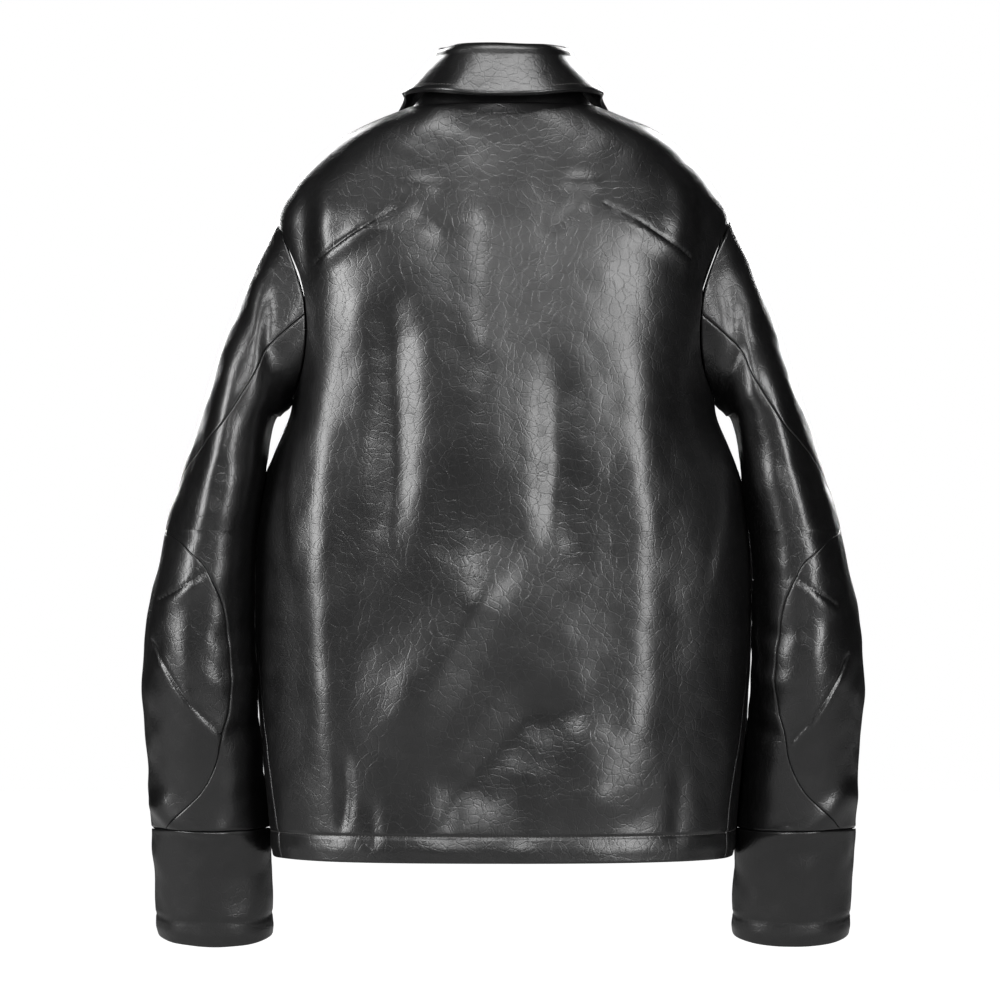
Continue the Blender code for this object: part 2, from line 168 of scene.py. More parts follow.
POCKET_X = (0.124, 0.068)
POCKET_LEVELS = (0.155, 0.50)
POCKET_STITCH_IN = 0.0035

# Press studs: heights below the neckline, and (radius, height) profiles in millimetres.
STUD_HEIGHTS = (0.102, 0.265, 0.380, 0.495, 0.610)
CAP = ((0, 0.1), (7.0, 0.1), (7.4, 0.35), (7.5, 0.8), (7.3, 1.2), (6.8, 1.45), (6.4, 1.5), (6.1, 1.75))
CAP += ((5.6, 2.15), (4.8, 2.55), (3.6, 2.95), (2.2, 3.2), (1.0, 3.3), (0, 3.3))
SOCKET = ((0, -0.1), (5.2, -0.1), (5.5, -0.3), (5.5, -1.3), (5.1, -1.6))
SOCKET += ((3.7, -1.6), (3.4, -1.4), (3.3, -0.6), (0, -0.6))
STUD = ((0, 0.3), (4.8, 0.3), (5.0, 0.5), (4.9, 0.85), (2.6, 0.95))
STUD += ((2.2, 1.2), (2.4, 1.7), (2.1, 2.1), (1.2, 2.3), (0, 2.3))
POST = ((0, -0.1), (4.8, -0.1), (5.0, -0.3), (4.8, -0.8), (3.0, -1.0), (0, -1.0))
STUD_CORNERS = 40

# Stitches, the place of the rows at hem and cuff, and the rows of points that follow the hem's.
STITCH_PITCH = 0.0031
STITCH_LENGTH = 0.0021
STITCH_RADIUS = 0.00028
STITCH_CORNERS = 6
STITCH_PROFILE = ((-0.5, 0.0), (-0.42, 0.75), (-0.15, 1.0), (0.15, 1.0), (0.42, 0.75), (0.5, 0.0))
HEM_ROWS = 0.0021 * np.arange(-4, 5)
HEM_STITCH_Z = -0.6383
CUFF_STITCH_Z = -0.7146
CUFF_STITCH_Y = -0.0414
CUFF_STITCH_TILT = -0.145

# Floor, and a camera straight behind the jacket that aims at AIM.
FLOOR_Z = -1.05
FLOOR_HALF = 9.0
AIM = (0.0027, -0.0785, -0.331)
CAMERA_AWAY = 5.0
FRAME_WIDTH = 0.885
LIGHTS_AIM = (0.0, 0.0, -0.30)

SIDES = (("left", 1.0), ("right", -1.0))


# ---------- curves and surfaces


def ease(t):
    t = np.clip(t, 0.0, 1.0)
    return t * t * (3.0 - 2.0 * t)


def keyed(levels, values, at):
    """Smooth curve through values at levels, the same as the frame's."""
    levels = np.asarray(levels, float)
    values = np.asarray(values, float)
    at = np.asarray(at, float)
    last = len(levels) - 1
    i = np.clip(np.searchsorted(levels, at, side="left") - 1, 0, last - 1)
    lo = np.maximum(np.arange(last + 1) - 1, 0)
    hi = np.minimum(np.arange(last + 1) + 1, last)
    slopes = (values[hi] - values[lo]) / (levels[hi] - levels[lo])
    h = levels[i + 1] - levels[i]
    t = (at - levels[i]) / h
    start = 2 * t**3 - 3 * t**2 + 1
    end = 3 * t**2 - 2 * t**3
    bend = slopes[i] * (t**3 - 2 * t**2 + t) + slopes[i + 1] * (t**3 - t**2)
    return values[i] * start + values[i + 1] * end + h * bend


def bulge(value):
    return np.sign(value) * np.abs(value) ** ROUNDNESS


def stack(x, y, z):
    return np.stack(np.broadcast_arrays(x, y, z), axis=-1)


def torso(angle, level):
    """Outer face of the body: angle in degrees from the centre back round to the left."""
    across = [keyed(RINGS[:, 0], column, level) for column in RINGS.T[1:]]
    width, behind, before, z_back, z_side, z_front = across
    s = np.sin(np.radians(angle))
    c = np.cos(np.radians(angle))
    depth = np.where(c > 0, behind, before)
    middle = np.where(c > 0, z_back, z_front)
    return stack(width * bulge(s), depth * bulge(c), z_side + (middle - z_side) * c * c)


def left_front(angle, level):
    """The body with the left front lifted over the right front near the opening."""
    point = torso(angle, level)
    lift = PLACKET_LIFT * ease((0.052 - point[..., 0]) / 0.022)
    return point + normals(torso, angle, level) * lift[..., None]


def normals(surface, u, v):
    """Outward direction of a surface at each (u, v)."""
    du, dv = 0.2, 0.003
    across = surface(u + du, v) - surface(u - du, v)
    along = surface(u, v + dv) - surface(u, v - dv)
    n = np.cross(along, across)
    return n / np.maximum(np.linalg.norm(n, axis=-1, keepdims=True), 1e-12)


def on_side(points, side):
    """The points or directions of the left side, or with side -1 their mirror image."""
    return points * np.array((side, 1.0, 1.0))


def angle_at_x(x, level):
    """Angle on the front of the body at this x."""
    width = keyed(RINGS[:, 0], RINGS[:, 1], level)
    share = np.minimum(1.0, np.abs(x) / width) ** (1.0 / ROUNDNESS)
    return 180.0 - np.sign(x) * np.degrees(np.arcsin(share))


def sleeve(turn, at):
    """Outer face of the left sleeve: turn 0 is outwards or up, 90 the back; at counts sections."""
    c = np.cos(np.radians(turn))
    s = np.sin(np.radians(turn))
    index = np.arange(len(SECTIONS))
    ox, oz, ix, iz, depth, y = [keyed(index, SECTIONS[:, k], at) for k in range(6)]
    point = stack((ox + ix) / 2 + (ox - ix) / 2 * c, y + depth * s, (oz + iz) / 2 + (oz - iz) / 2 * c)
    near = np.clip(1.0 - at, 0.0, None)
    share = np.broadcast_to(near**2 * (1.0 + 0.5 * np.minimum(at, 1.0)), point.shape[:-1])
    armhole = torso(90.0 - ARM_ANGLE_HALF * s, ARM_LEVEL + ARM_LEVEL_HALF * c)
    flat = stack(0.1916 + 0.0084 * c, 0.070 * s, -0.183 + 0.082 * c)
    point = point + (armhole - flat) * share[..., None]
    point[..., 2] -= CUFF_TILT * s * ease(at - 10.0)
    return point


def collar(angle, across):
    """Outer face of the top collar: across 0 is the neckline inside, 1 the edge of the fall."""
    angle, across = np.broadcast_arrays(np.asarray(angle, float), np.asarray(across, float))
    away = np.abs(angle)
    s = bulge(np.sin(np.radians(angle)))
    c = bulge(np.cos(np.radians(angle)))
    outward = stack(s, c, 0.0)
    outward = outward / np.linalg.norm(outward, axis=-1, keepdims=True)
    up = np.array((0.0, 0.0, 1.0))
    foot = torso(angle, 2.0) - outward * 0.0060 + up * 0.0040
    drop = FOLD_DROP * ease((away - 80.0) / 95.0)
    fold = stack(FOLD_X * s, np.where(c > 0, FOLD_BACK, FOLD_FRONT) * c, FOLD_Z - drop)
    stand = foot + (fold - outward * FOLD_RADIUS - foot) * (across / STAND_END)[..., None]
    swing = math.pi * (across - STAND_END) / (ROLL_END - STAND_END)
    way = outward * -np.cos(swing)[..., None] + up * np.sin(swing)[..., None]
    roll = fold + way * FOLD_RADIUS
    level = 2.0 - POINT_LEVELS * ease((away - 96.0) / 74.0)
    out = normals(torso, angle, level)
    lift = 0.0130 - 0.0020 * ease(away / 90.0) + 0.004 * ease((away - 120.0) / 50.0)
    edge = torso(angle, level) + out * lift[..., None]
    share = ((across - ROLL_END) / (1.0 - ROLL_END))[..., None]
    belly = (0.004 * ease((away - 95.0) / 40.0))[..., None] * np.sin(math.pi * np.clip(share, 0, 1))
    start = fold + outward * FOLD_RADIUS
    fall = start + (edge - start) * share + out * belly
    across = across[..., None]
    return np.where(across < STAND_END, stand, np.where(across < ROLL_END, roll, fall))


def arm_half_angle(level):
    """Half the armhole's width at this level, in degrees; 0 above it."""
    t = (level - ARM_LEVEL) / ARM_LEVEL_HALF
    return ARM_ANGLE_HALF * np.sqrt(np.clip(1.0 - t * t, 0.0, 1.0))


def side_seam(level):
    """Angle of the seam between the back and the side front, below the armhole."""
    return 72.0 + 18.0 * ease(level / 1.01)


def back_edge(level):
    """Angle of the back's edge: the side seam and, above it, the armhole."""
    return np.where(level < 1.01, side_seam(level), 90.0 - arm_half_angle(level)) - SEAM_GAP


def side_edges(level):
    """Angles of the side front's two edges."""
    outer = np.where(level < 1.01, side_seam(level), 90.0 + arm_half_angle(level)) + SEAM_GAP
    return outer, angle_at_x(PRINCESS_X, np.minimum(level, SHOULDER_END)) - SEAM_GAP


def front_outer(level):
    """Angle of the front's outer edge."""
    return np.where(level < SHOULDER_END + 0.003, angle_at_x(PRINCESS_X, level), 90.0) + SEAM_GAP


FRONTS = {"left": left_front, "right": torso}


# ---------- folds


def curve_through(points, count=24):
    """Smooth line of count points through a few."""
    points = np.asarray(points, float)
    if len(points) == 2:
        return points[0] + (points[1] - points[0]) * np.linspace(0, 1, count)[:, None]
    steps = np.concatenate(([0.0], np.cumsum(np.linalg.norm(np.diff(points, axis=0), axis=1))))
    at = np.linspace(0, steps[-1], count)
    return np.stack([keyed(steps, points[:, k], at) for k in range(points.shape[1])], axis=1)


def along_line(line, flat):
    """Distance of each flat point from a line, signed by its side, and how far along it lies, 0 to 1."""
    best = np.full(len(flat), 9.0)
    signed = np.zeros(len(flat))
    along = np.zeros(len(flat))
    steps = np.linalg.norm(np.diff(line, axis=0), axis=1)
    total = steps.sum()
    done = 0.0
    for a, b, step in zip(line, line[1:], steps):
        way = (b - a) / step
        rel = flat - a
        t = np.clip(rel @ way, 0, step)
        off = rel - t[:, None] * way
        d = np.hypot(off[:, 0], off[:, 1])
        closer = d < best
        best[closer] = d[closer]
        signed[closer] = np.sign(way[0] * rel[closer, 1] - way[1] * rel[closer, 0]) * d[closer]
        along[closer] = (done + t[closer]) / total
        done += step
    return signed, along


class Fold:
    """A ridge, or with negative height a valley, along a line seen from behind or in front."""

    def __init__(self, points, width, height, fade=0.3, other=None, front=False):
        self.line = curve_through(points)
        self.width = width
        self.other = other or width
        self.height = height
        self.fade = fade
        self.front = front

    def at(self, points, normal):
        """Height of the fold at each point, 0 where the leather faces the other way."""
        facing = -normal[:, 1] if self.front else normal[:, 1]
        reach = 3.0 * max(self.width, self.other)
        low = self.line.min(axis=0) - reach
        high = self.line.max(axis=0) + reach
        flat = points[:, (0, 2)]
        near = (flat > low).all(axis=1) & (flat < high).all(axis=1) & (facing > 0.0)
        out = np.zeros(len(points))
        if not near.any():
            return out
        d, t = along_line(self.line, flat[near])
        width = np.where(d > 0, self.width, self.other)
        ends = ease(t / self.fade) * ease((1.0 - t) / self.fade) if self.fade else 1.0
        out[near] = self.height * np.exp(-((d / width) ** 2)) * ends * ease(facing[near] / 0.35)
        return out


def folded(folds, points, normal):
    """Height of all the folds together at each point."""
    total = np.zeros(len(points))
    for fold in folds:
        total += fold.at(points, normal)
    return total


def waves(points, wavelength, height, seed):
    """Gentle unevenness: a few random waves added together."""
    rng = np.random.default_rng(seed)
    total = np.zeros(len(points))
    for _ in range(14):
        way = rng.normal(size=3)
        way /= np.linalg.norm(way)
        length = wavelength * rng.uniform(0.7, 1.6)
        total += np.sin(points @ way * (2 * math.pi / length) + rng.uniform(0, 2 * math.pi))
    return total * height / 3.0


# ---------- meshes


def spread(count, width):
    """Shares from 0 to 1 across a piece this wide, closer together at its sewn edges."""
    near = EDGE_STEPS / width
    middle = np.linspace(near[-1], 1.0 - near[-1], count + 1)[1:-1]
    return np.concatenate((near, middle, 1.0 - near[::-1]))


def grid_of(u, levels):
    """Points (u, v) and quads of a grid that has one row of u at each level."""
    v = np.broadcast_to(levels[:, None], u.shape)
    k = np.arange(u.size).reshape(u.shape)
    quads = np.stack((k[:-1, :-1], k[:-1, 1:], k[1:, 1:], k[1:, :-1]), axis=-1).reshape(-1, 4)
    return np.stack((u.ravel(), v.ravel()), axis=1), [tuple(q) for q in quads.tolist()]


def lattice(levels, first, last, shares):
    """Grid of (u, v), with its quads: u runs from first to last at each level."""
    levels = np.asarray(levels, float)
    first = np.broadcast_to(first, levels.shape)
    last = np.broadcast_to(last, levels.shape)
    return grid_of(first[:, None] + (last - first)[:, None] * shares[None, :], levels)


def refined(grid, surface, folds, side=1.0):
    """Splits the faces behind the jacket near some folds, so that a narrow crease has points to follow."""
    uv, faces = grid
    mesh = bmesh.new()
    verts = [mesh.verts.new((u, v, 0.0)) for u, v in uv]
    for face in faces:
        mesh.faces.new([verts[k] for k in face])
    for reach in (CREASE_REACH, CREASE_REACH * 0.62):
        mesh.verts.ensure_lookup_table()
        here = np.array([v.co[:2] for v in mesh.verts])
        points = on_side(surface(here[:, 0], here[:, 1]), side)
        near = np.zeros(len(here), bool)
        for fold in folds:
            near |= np.abs(along_line(fold.line, points[:, (0, 2)])[0]) < reach
        near &= normals(surface, here[:, 0], here[:, 1])[:, 1] > 0.05
        edges = [e for e in mesh.edges if near[e.verts[0].index] and near[e.verts[1].index]]
        bmesh.ops.subdivide_edges(mesh, edges=edges, cuts=1, use_grid_fill=True)
        mesh.verts.index_update()
    uv = np.array([v.co[:2] for v in mesh.verts])
    faces = [tuple(v.index for v in f.verts) for f in mesh.faces]
    mesh.free()
    return uv, faces


def rim_edges(faces):
    """Directed edges that belong to one face only."""
    seen = {}
    for face in faces:
        for a, b in zip(face, face[1:] + face[:1]):
            seen[a, b] = True
    return [(a, b) for a, b in seen if (b, a) not in seen]


def edge_distance(points, rim, most):
    """Distance of each point from the piece's rim, up to most."""
    ends = sorted({a for a, _ in rim} | {b for _, b in rim})
    tree = kdtree.KDTree(len(ends))
    for k in ends:
        tree.insert(points[k], k)
    tree.balance()
    low = points[ends].min(axis=0) - most
    high = points[ends].max(axis=0) + most
    out = np.full(len(points), most)
    for k in np.flatnonzero(((points > low) & (points < high)).all(axis=1)):
        out[k] = min(most, tree.find(points[k])[2])
    return out


def add_mesh(name, points, faces, material, sharp=None, check=False):
    """Object with smooth faces; edges that turn by more than sharp degrees stay sharp."""
    mesh = bpy.data.meshes.new(name)
    mesh.from_pydata([tuple(p) for p in points], [], faces)
    if check:
        mesh.validate()
    mesh.shade_smooth()
    if sharp:
        mesh.set_sharp_from_angle(angle=math.radians(sharp))
    mesh.materials.append(material)
    obj = bpy.data.objects.new(name, mesh)
    bpy.context.scene.collection.objects.link(obj)
    return obj


def skin(name, surface, grid, layer, side=1.0, shape=None, soft=()):
    """A closed sheet, laid out by (u, v) on a surface, folded by shape and turned in at its sewn edges."""
    depth, thick, tuck, finish = LAYERS[layer]
    uv, faces = grid
    points = on_side(surface(uv[:, 0], uv[:, 1]), side)
    normal = on_side(normals(surface, uv[:, 0], uv[:, 1]), side)
    a, b, c = faces[len(faces) // 2][:3]
    if np.dot(np.cross(points[b] - points[a], points[c] - points[a]), normal[a]) < 0:
        faces = [tuple(reversed(f)) for f in faces]
    rim = rim_edges(faces)
    lift = np.zeros(len(points)) if shape is None else shape(points, normal)
    if tuck:
        hard = [(a, b) for a, b in rim if not any(test(uv[a]) and test(uv[b]) for test in soft)]
        near = edge_distance(points, hard, ROLL)
        lift = lift - tuck * (1.0 - np.sqrt(np.clip(1.0 - (1.0 - near / ROLL) ** 2, 0.0, 1.0)))
    outer = points + normal * (lift - depth)[:, None] + NECK
    rest = np.concatenate((outer, outer - normal * thick))
    count = len(points)
    shell = list(faces) + [tuple(k + count for k in reversed(f)) for f in faces]
    shell += [(b, a, a + count, b + count) for a, b in rim]
    obj = add_mesh(name, rest.tolist(), shell, LOOKS[finish], sharp=50)
    place = obj.data.attributes.new("place", "FLOAT_VECTOR", "POINT")
    place.data.foreach_set("vector", rest.astype(np.float32).ravel())
    return obj


def rounded_solid(name, rings, finish, body, node):
    """A small fitting: rings holds, from one end to the other, each circle's points."""
    faces = []
    start = 0
    for low, high in zip(rings, rings[1:]):
        after = start + len(low)
        for k in range(max(len(low), len(high))):
            a, b = start + k % len(low), start + (k + 1) % len(low)
            c, d = after + (k + 1) % len(high), after + k % len(high)
            face = [a]
            for corner in (b, c, d):
                if corner not in face:
                    face.append(corner)
            faces.append(tuple(face))
        start = after
    points = [p for ring in rings for p in ring]
    obj = add_mesh(name, points, faces, LOOKS[finish], sharp=35, check=True)
    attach(obj, body)
    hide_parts(node)


def stitches(name, line, out):
    """Thread along a line of points: one small rounded stitch after another, half sunk in the leather."""
    steps = np.concatenate(([0.0], np.cumsum(np.linalg.norm(np.diff(line, axis=0), axis=1))))
    turns = 2 * math.pi * np.arange(STITCH_CORNERS) / STITCH_CORNERS
    points = []
    faces = []
    for k in range(int(steps[-1] / STITCH_PITCH)):
        at = (k + 0.5) * STITCH_PITCH
        middle = np.array([np.interp(at, steps, line[:, i]) for i in range(3)])
        ahead = np.array([np.interp(at + 0.001, steps, line[:, i]) for i in range(3)]) - middle
        up = np.array([np.interp(at, steps, out[:, i]) for i in range(3)])
        way = ahead / max(np.linalg.norm(ahead), 1e-9)
        across = np.cross(up, way)
        base = len(points)
        for along, wide in STITCH_PROFILE:
            sink = -0.00012 - 0.0004 * max(0.0, abs(along) - 0.3)
            centre = middle + way * along * STITCH_LENGTH + up * sink
            if wide == 0.0:
                points.append(centre)
                continue
            for t in turns:
                rim = across * math.cos(t) + up * math.sin(t) * 0.8
                points.append(centre + rim * STITCH_RADIUS * wide)
        rings = [base + 1 + STITCH_CORNERS * j for j in range(4)]
        tip = rings[-1] + STITCH_CORNERS
        for j in range(STITCH_CORNERS):
            n = (j + 1) % STITCH_CORNERS
            faces.append((base, rings[0] + n, rings[0] + j))
            for low, high in zip(rings, rings[1:]):
                faces.append((low + j, low + n, high + n, high + j))
            faces.append((rings[-1] + j, rings[-1] + n, tip))
    return add_mesh(name, points, faces, LOOKS["thread"])


# ---------- materials


def node_material(name):
    """A new material with its node tree and its shader."""
    material = bpy.data.materials.new(name)
    material.use_nodes = True
    return material, material.node_tree, material.node_tree.nodes["Principled BSDF"]


def add_node(tree, kind, values, linked):
    """A new node with some inputs set to values and others linked to sockets."""
    node = tree.nodes.new(kind)
    for name, value in values.items():
        node.inputs[name].default_value = value
    for name, socket in linked.items():
        tree.links.new(socket, node.inputs[name])
    return node


def place_of(tree):
    """Each point's place on the garment at rest, so that the grain stays with the leather."""
    node = tree.nodes.new("ShaderNodeAttribute")
    node.attribute_name = "place"
    return node.outputs["Vector"]


def ramp(tree, value, low, high, dark, light):
    """Value from low to high becomes a number from dark to light."""
    values = {"From Min": low, "From Max": high, "To Min": dark, "To Max": light}
    return add_node(tree, "ShaderNodeMapRange", values, {"Value": value}).outputs["Result"]


def cells(tree, place, feature, scale):
    """Distances inside a pattern of cells."""
    node = add_node(tree, "ShaderNodeTexVoronoi", {"Scale": scale}, {"Vector": place})
    node.feature = feature
    return node.outputs["Distance"]


def noise(tree, place, scale, detail=3.0, rough=0.55, output="Fac"):
    values = {"Scale": scale, "Detail": detail, "Roughness": rough}
    return add_node(tree, "ShaderNodeTexNoise", values, {"Vector": place}).outputs[output]


def bump(tree, height, distance, strength, under=None):
    """Bumps of this height, on top of those under them."""
    linked = {"Height": height} if under is None else {"Height": height, "Normal": under}
    values = {"Distance": distance, "Strength": strength}
    return add_node(tree, "ShaderNodeBump", values, linked).outputs["Normal"]


def leather_material():
    """Black polished leather: pebbled grain, fine creases and slight wear."""
    material, tree, shader = node_material("black leather")
    place = place_of(tree)
    shift = tree.nodes.new("ShaderNodeVectorMath")
    shift.operation = "MULTIPLY_ADD"
    tree.links.new(noise(tree, place, 45.0, 2.0, output="Color"), shift.inputs[0])
    shift.inputs[1].default_value = (0.010, 0.010, 0.010)
    tree.links.new(place, shift.inputs[2])
    bent = shift.outputs["Vector"]
    soft = noise(tree, place, 130.0, 4.0, 0.6)
    crease = ramp(tree, cells(tree, bent, "DISTANCE_TO_EDGE", 115.0), 0.0, 0.07, 0.0, 1.0)
    large = ramp(tree, cells(tree, bent, "DISTANCE_TO_EDGE", 34.0), 0.0, 0.020, 0.0, 1.0)
    normal = bump(tree, noise(tree, place, 24.0, 2.0, 0.5), 0.0030, 0.30)
    normal = bump(tree, crease, 0.00012, 0.50, normal)
    normal = bump(tree, large, 0.00016, 0.30, normal)
    normal = bump(tree, soft, 0.0004, 0.22, normal)
    normal = bump(tree, cells(tree, place, "SMOOTH_F1", 950.0), 0.00010, 0.45, normal)
    tree.links.new(normal, shader.inputs["Normal"])
    polish = ramp(tree, noise(tree, place, 9.0, 2.0), 0.3, 0.7, 0.30, 0.37)
    tree.links.new(polish, shader.inputs["Roughness"])
    tint = tree.nodes.new("ShaderNodeMix")
    tint.data_type = "RGBA"
    tint.inputs["A"].default_value = (0.0012, 0.0012, 0.0013, 1.0)
    tint.inputs["B"].default_value = (0.0026, 0.0025, 0.0026, 1.0)
    tree.links.new(ramp(tree, soft, 0.35, 0.7, 0.0, 1.0), tint.inputs["Factor"])
    tree.links.new(tint.outputs["Result"], shader.inputs["Base Color"])
    shader.inputs["Specular IOR Level"].default_value = 0.5
    return material


def lining_material():
    """Dark twill with a faint sheen."""
    material, tree, shader = node_material("black lining")
    place = place_of(tree)
    normal = bump(tree, noise(tree, place, 30.0), 0.004, 0.3)
    normal = bump(tree, noise(tree, place, 900.0, 1.0), 0.0002, 0.4, normal)
    tree.links.new(normal, shader.inputs["Normal"])
    shader.inputs["Base Color"].default_value = (0.016, 0.016, 0.019, 1.0)
    shader.inputs["Roughness"].default_value = 0.55
    shader.inputs["Sheen Weight"].default_value = 0.25
    return material


def plain_material(name, colour, rough, metal=0.0):
    material, _, shader = node_material(name)
    shader.inputs["Base Color"].default_value = (*colour, 1.0)
    shader.inputs["Roughness"].default_value = rough
    shader.inputs["Metallic"].default_value = metal
    return material


LOOKS = {
    "leather": leather_material(),
    "lining": lining_material(),
    "thread": plain_material("dark grey thread", (0.085, 0.083, 0.080), 0.6),
    "studs": plain_material("gunmetal studs", (0.16, 0.155, 0.15), 0.28, 1.0),
}


# ---------- layouts


def steps(surface, u, first, last, pitch=PITCH, low=True, high=True):
    """Levels from first to last, evenly spaced along the surface and closer at sewn ends."""
    v = np.linspace(first, last, 500)
    length = np.concatenate(([0.0], np.cumsum(np.linalg.norm(np.diff(surface(u, v), axis=0), axis=1))))
    start = EDGE_STEPS if low else EDGE_STEPS[:1]
    end = length[-1] - (EDGE_STEPS if high else EDGE_STEPS[:1])[::-1]
    count = max(2, int((end[0] - start[-1]) / pitch))
    at = np.concatenate((start, np.linspace(start[-1], end[0], count + 1)[1:-1], end))
    return np.interp(at, length, v)


def joined(levels, first):
    """The levels in one row; from the hem up, it has closely spaced ones at the hem's stitching."""
    levels = np.concatenate(levels)
    if first > 0.0:
        return levels
    rows = HEM_LEVEL + HEM_ROWS
    far = np.array([np.abs(rows - level).min() > 0.0019 for level in levels])
    return np.sort(np.concatenate((levels[far], rows)))


def around_armhole(pitch):
    """Levels up the armhole, closer at its top and bottom."""
    count = int(0.24 / pitch)
    swing = np.linspace(-math.pi / 2, math.pi / 2, count)[1:-1]
    return ARM_LEVEL + ARM_LEVEL_HALF * np.sin(swing)


def without(uv, faces, drop):
    """The grid without the faces that drop picks, and without the points that no face uses."""
    kept = [face for face in faces if not drop(uv[list(face)])]
    used = np.unique(np.array([k for face in kept for k in face]))
    fresh = {int(k): n for n, k in enumerate(used)}
    return uv[used], [tuple(fresh[k] for k in face) for face in kept]


def back_layout(pitch, first, last):
    """The back from one side seam to the other."""
    levels = [steps(torso, 60.0, first, SIDE_SEAM_END, pitch, high=False)]
    arm = around_armhole(pitch)
    levels.append(arm[arm < last])
    if last > SHOULDER_START:
        levels.append(steps(torso, 60.0, SHOULDER_START, last, pitch, low=False))
    levels = joined(levels, first)
    edge = back_edge(levels)
    return lattice(levels, -edge, edge, spread(int(0.50 / pitch), 0.50))


def side_layout(pitch, first, last):
    """A side front, from the side seam to the princess seam."""
    levels = [steps(torso, 110.0, first, SIDE_SEAM_END, pitch, high=False), around_armhole(pitch)]
    levels.append(steps(torso, 110.0, SHOULDER_START, last, pitch, low=False))
    levels = joined(levels, first)
    near, far = side_edges(levels)
    return lattice(levels, near, far, spread(int(0.12 / pitch), 0.12))


def front_layout(surface):
    """A front: its outer edge follows the princess seam, then turns out along the shoulder."""
    turn = SHOULDER_END + 0.002
    levels = [steps(surface, 160.0, 0.0, turn - 0.001, high=False)]
    levels.append(steps(surface, 150.0, turn, NECKLINE, low=False))
    levels = joined(levels, 0.0)
    seam = angle_at_x(PRINCESS_X, np.minimum(levels, SHOULDER_END)) + SEAM_GAP
    free = angle_at_x(-OVERLAP, levels)
    main, _ = lattice(levels, seam, free, spread(int(0.16 / PITCH), 0.16))
    shoulder = np.linspace(0.0, 1.0, 12)[:-1]
    outer = np.where(levels > turn - 0.0005, 90.0 + SEAM_GAP, seam)
    extra = outer[:, None] + (seam - outer)[:, None] * shoulder
    u = np.concatenate((extra, main[:, 0].reshape(len(levels), -1)), axis=1)

    def below_shoulder(corners):
        """Faces without width, and those between the seam and the shoulder's lower edge."""
        low, high = corners[:, 0].min(), corners[:, 0].max()
        return high - low < 1e-6 or (low < seam.min() - 0.5 and corners[:, 1].min() < turn - 0.0005)

    return without(*grid_of(u, levels), below_shoulder)


def arm_layout(first_edge, last_edge, start, end, low=True, high=True):
    """Part of the way round the arm, between two seams given as turns."""
    levels = steps(sleeve, 0.0, start, end, PITCH, low, high)
    return lattice(levels, first_edge(levels), last_edge(levels), spread(int(0.22 / PITCH), 0.22))


def whole_arm(start, end, pitch):
    """All the way round the arm, closed on itself."""
    levels = steps(sleeve, 0.0, start, end, pitch)
    columns = int(0.36 / pitch)
    uv, faces = lattice(levels, 50.0, 410.0, np.linspace(0.0, 1.0, columns + 1))

    def closed(k):
        return k - columns if k % (columns + 1) == columns else k

    faces = [tuple(closed(k) for k in face) for face in faces]
    return without(uv, faces, lambda corners: False)


def keys(*pairs):
    """Smooth curve through (level, value) pairs."""
    pairs = np.array(pairs)
    return lambda at: keyed(pairs[:, 0], pairs[:, 1], np.clip(at, pairs[0, 0], pairs[-1, 0]))


# Seams of the sleeve and edges of the elbow panel: turn in degrees at each section.
seam_behind = keys((0, 90), (1, 96), (2, 93), (3, 76), (3.5, 33), (4, 0), (4.46, -22))
seam_front = keys((0, -95), (2, -95), (4.46, -80))
panel_behind = keys(
    (4.46, 8), (4.62, 47), (4.85, 72), (5.03, 91), (5.28, 103), (5.77, 119), (6.66, 126),
    (7.75, 122), (8.2, 113), (8.57, 105), (8.9, 88), (9.2, 60), (9.36, 45),
)
panel_before = keys((4.46, -8), (4.8, -25), (6.5, -55), (8.0, -45), (8.85, -25), (9.36, 15))


# ---------- pieces


def front_zone(body):
    """The torso, a front, and the stretch between them from the chest up to the neck."""
    return "torso", body, (0.0, -0.10, -0.09), (0.0, -0.10, -0.235)


def shoulder_zone(side, k):
    """The torso, a sleeve, and the stretch between them along the arm at the sleeve's head."""
    way = np.array((0.995 * k, 0.0, -0.102))
    return "torso", "sleeve_" + side, way * 0.2092, way * 0.2492


def elbow_zone(side, k):
    """A sleeve, its forearm, and the stretch between them round the elbow."""
    return "sleeve_" + side, "forearm_" + side, (0.26 * k, 0.0, -0.424), (0.26 * k, 0.0, -0.600)


def sewn(obj, where, finish, *nodes):
    """Puts a piece on its body; a piece that crosses a joint only has its place baked in. Hides the CAD
    nodes it stands for.
    """
    if isinstance(where, str):
        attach(obj, where)
    else:
        low, high, start, end = where
        tuple(np.array(start) + NECK)
        tuple(np.array(end) + NECK)
        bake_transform(obj)
    if nodes:
        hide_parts(*nodes)
    return obj


def panel(layer, name, surface, grid, where, *nodes, side=1.0, shape=None, soft=()):
    """One sewn piece of leather or lining."""
    sewn(skin(name, surface, grid, layer, side, shape, soft), where, LAYERS[layer][-1], *nodes)


def stitch_row(name, surface, row, where, side=1.0, shape=None, raise_by=0.0):
    """Stitches on a piece's face along a row of (u, v)."""
    uv = np.asarray(row, float)
    points = on_side(surface(uv[:, 0], uv[:, 1]), side)
    normal = on_side(normals(surface, uv[:, 0], uv[:, 1]), side)
    lift = raise_by + (0.0 if shape is None else shape(points, normal))
    line = points + normal * np.asarray(lift)[..., None] + NECK
    sewn(stitches(name, line, normal), where, "leather")


def row_at_level(first, last, level, count):
    """Row of (angle, level) round the body or the arm."""
    return [(angle, level) for angle in np.linspace(first, last, count)]


def row_at_x(x, first, last, count):
    """Row of (angle, level) up the front."""
    return [(float(angle_at_x(x, level)), level) for level in np.linspace(first, last, count)]


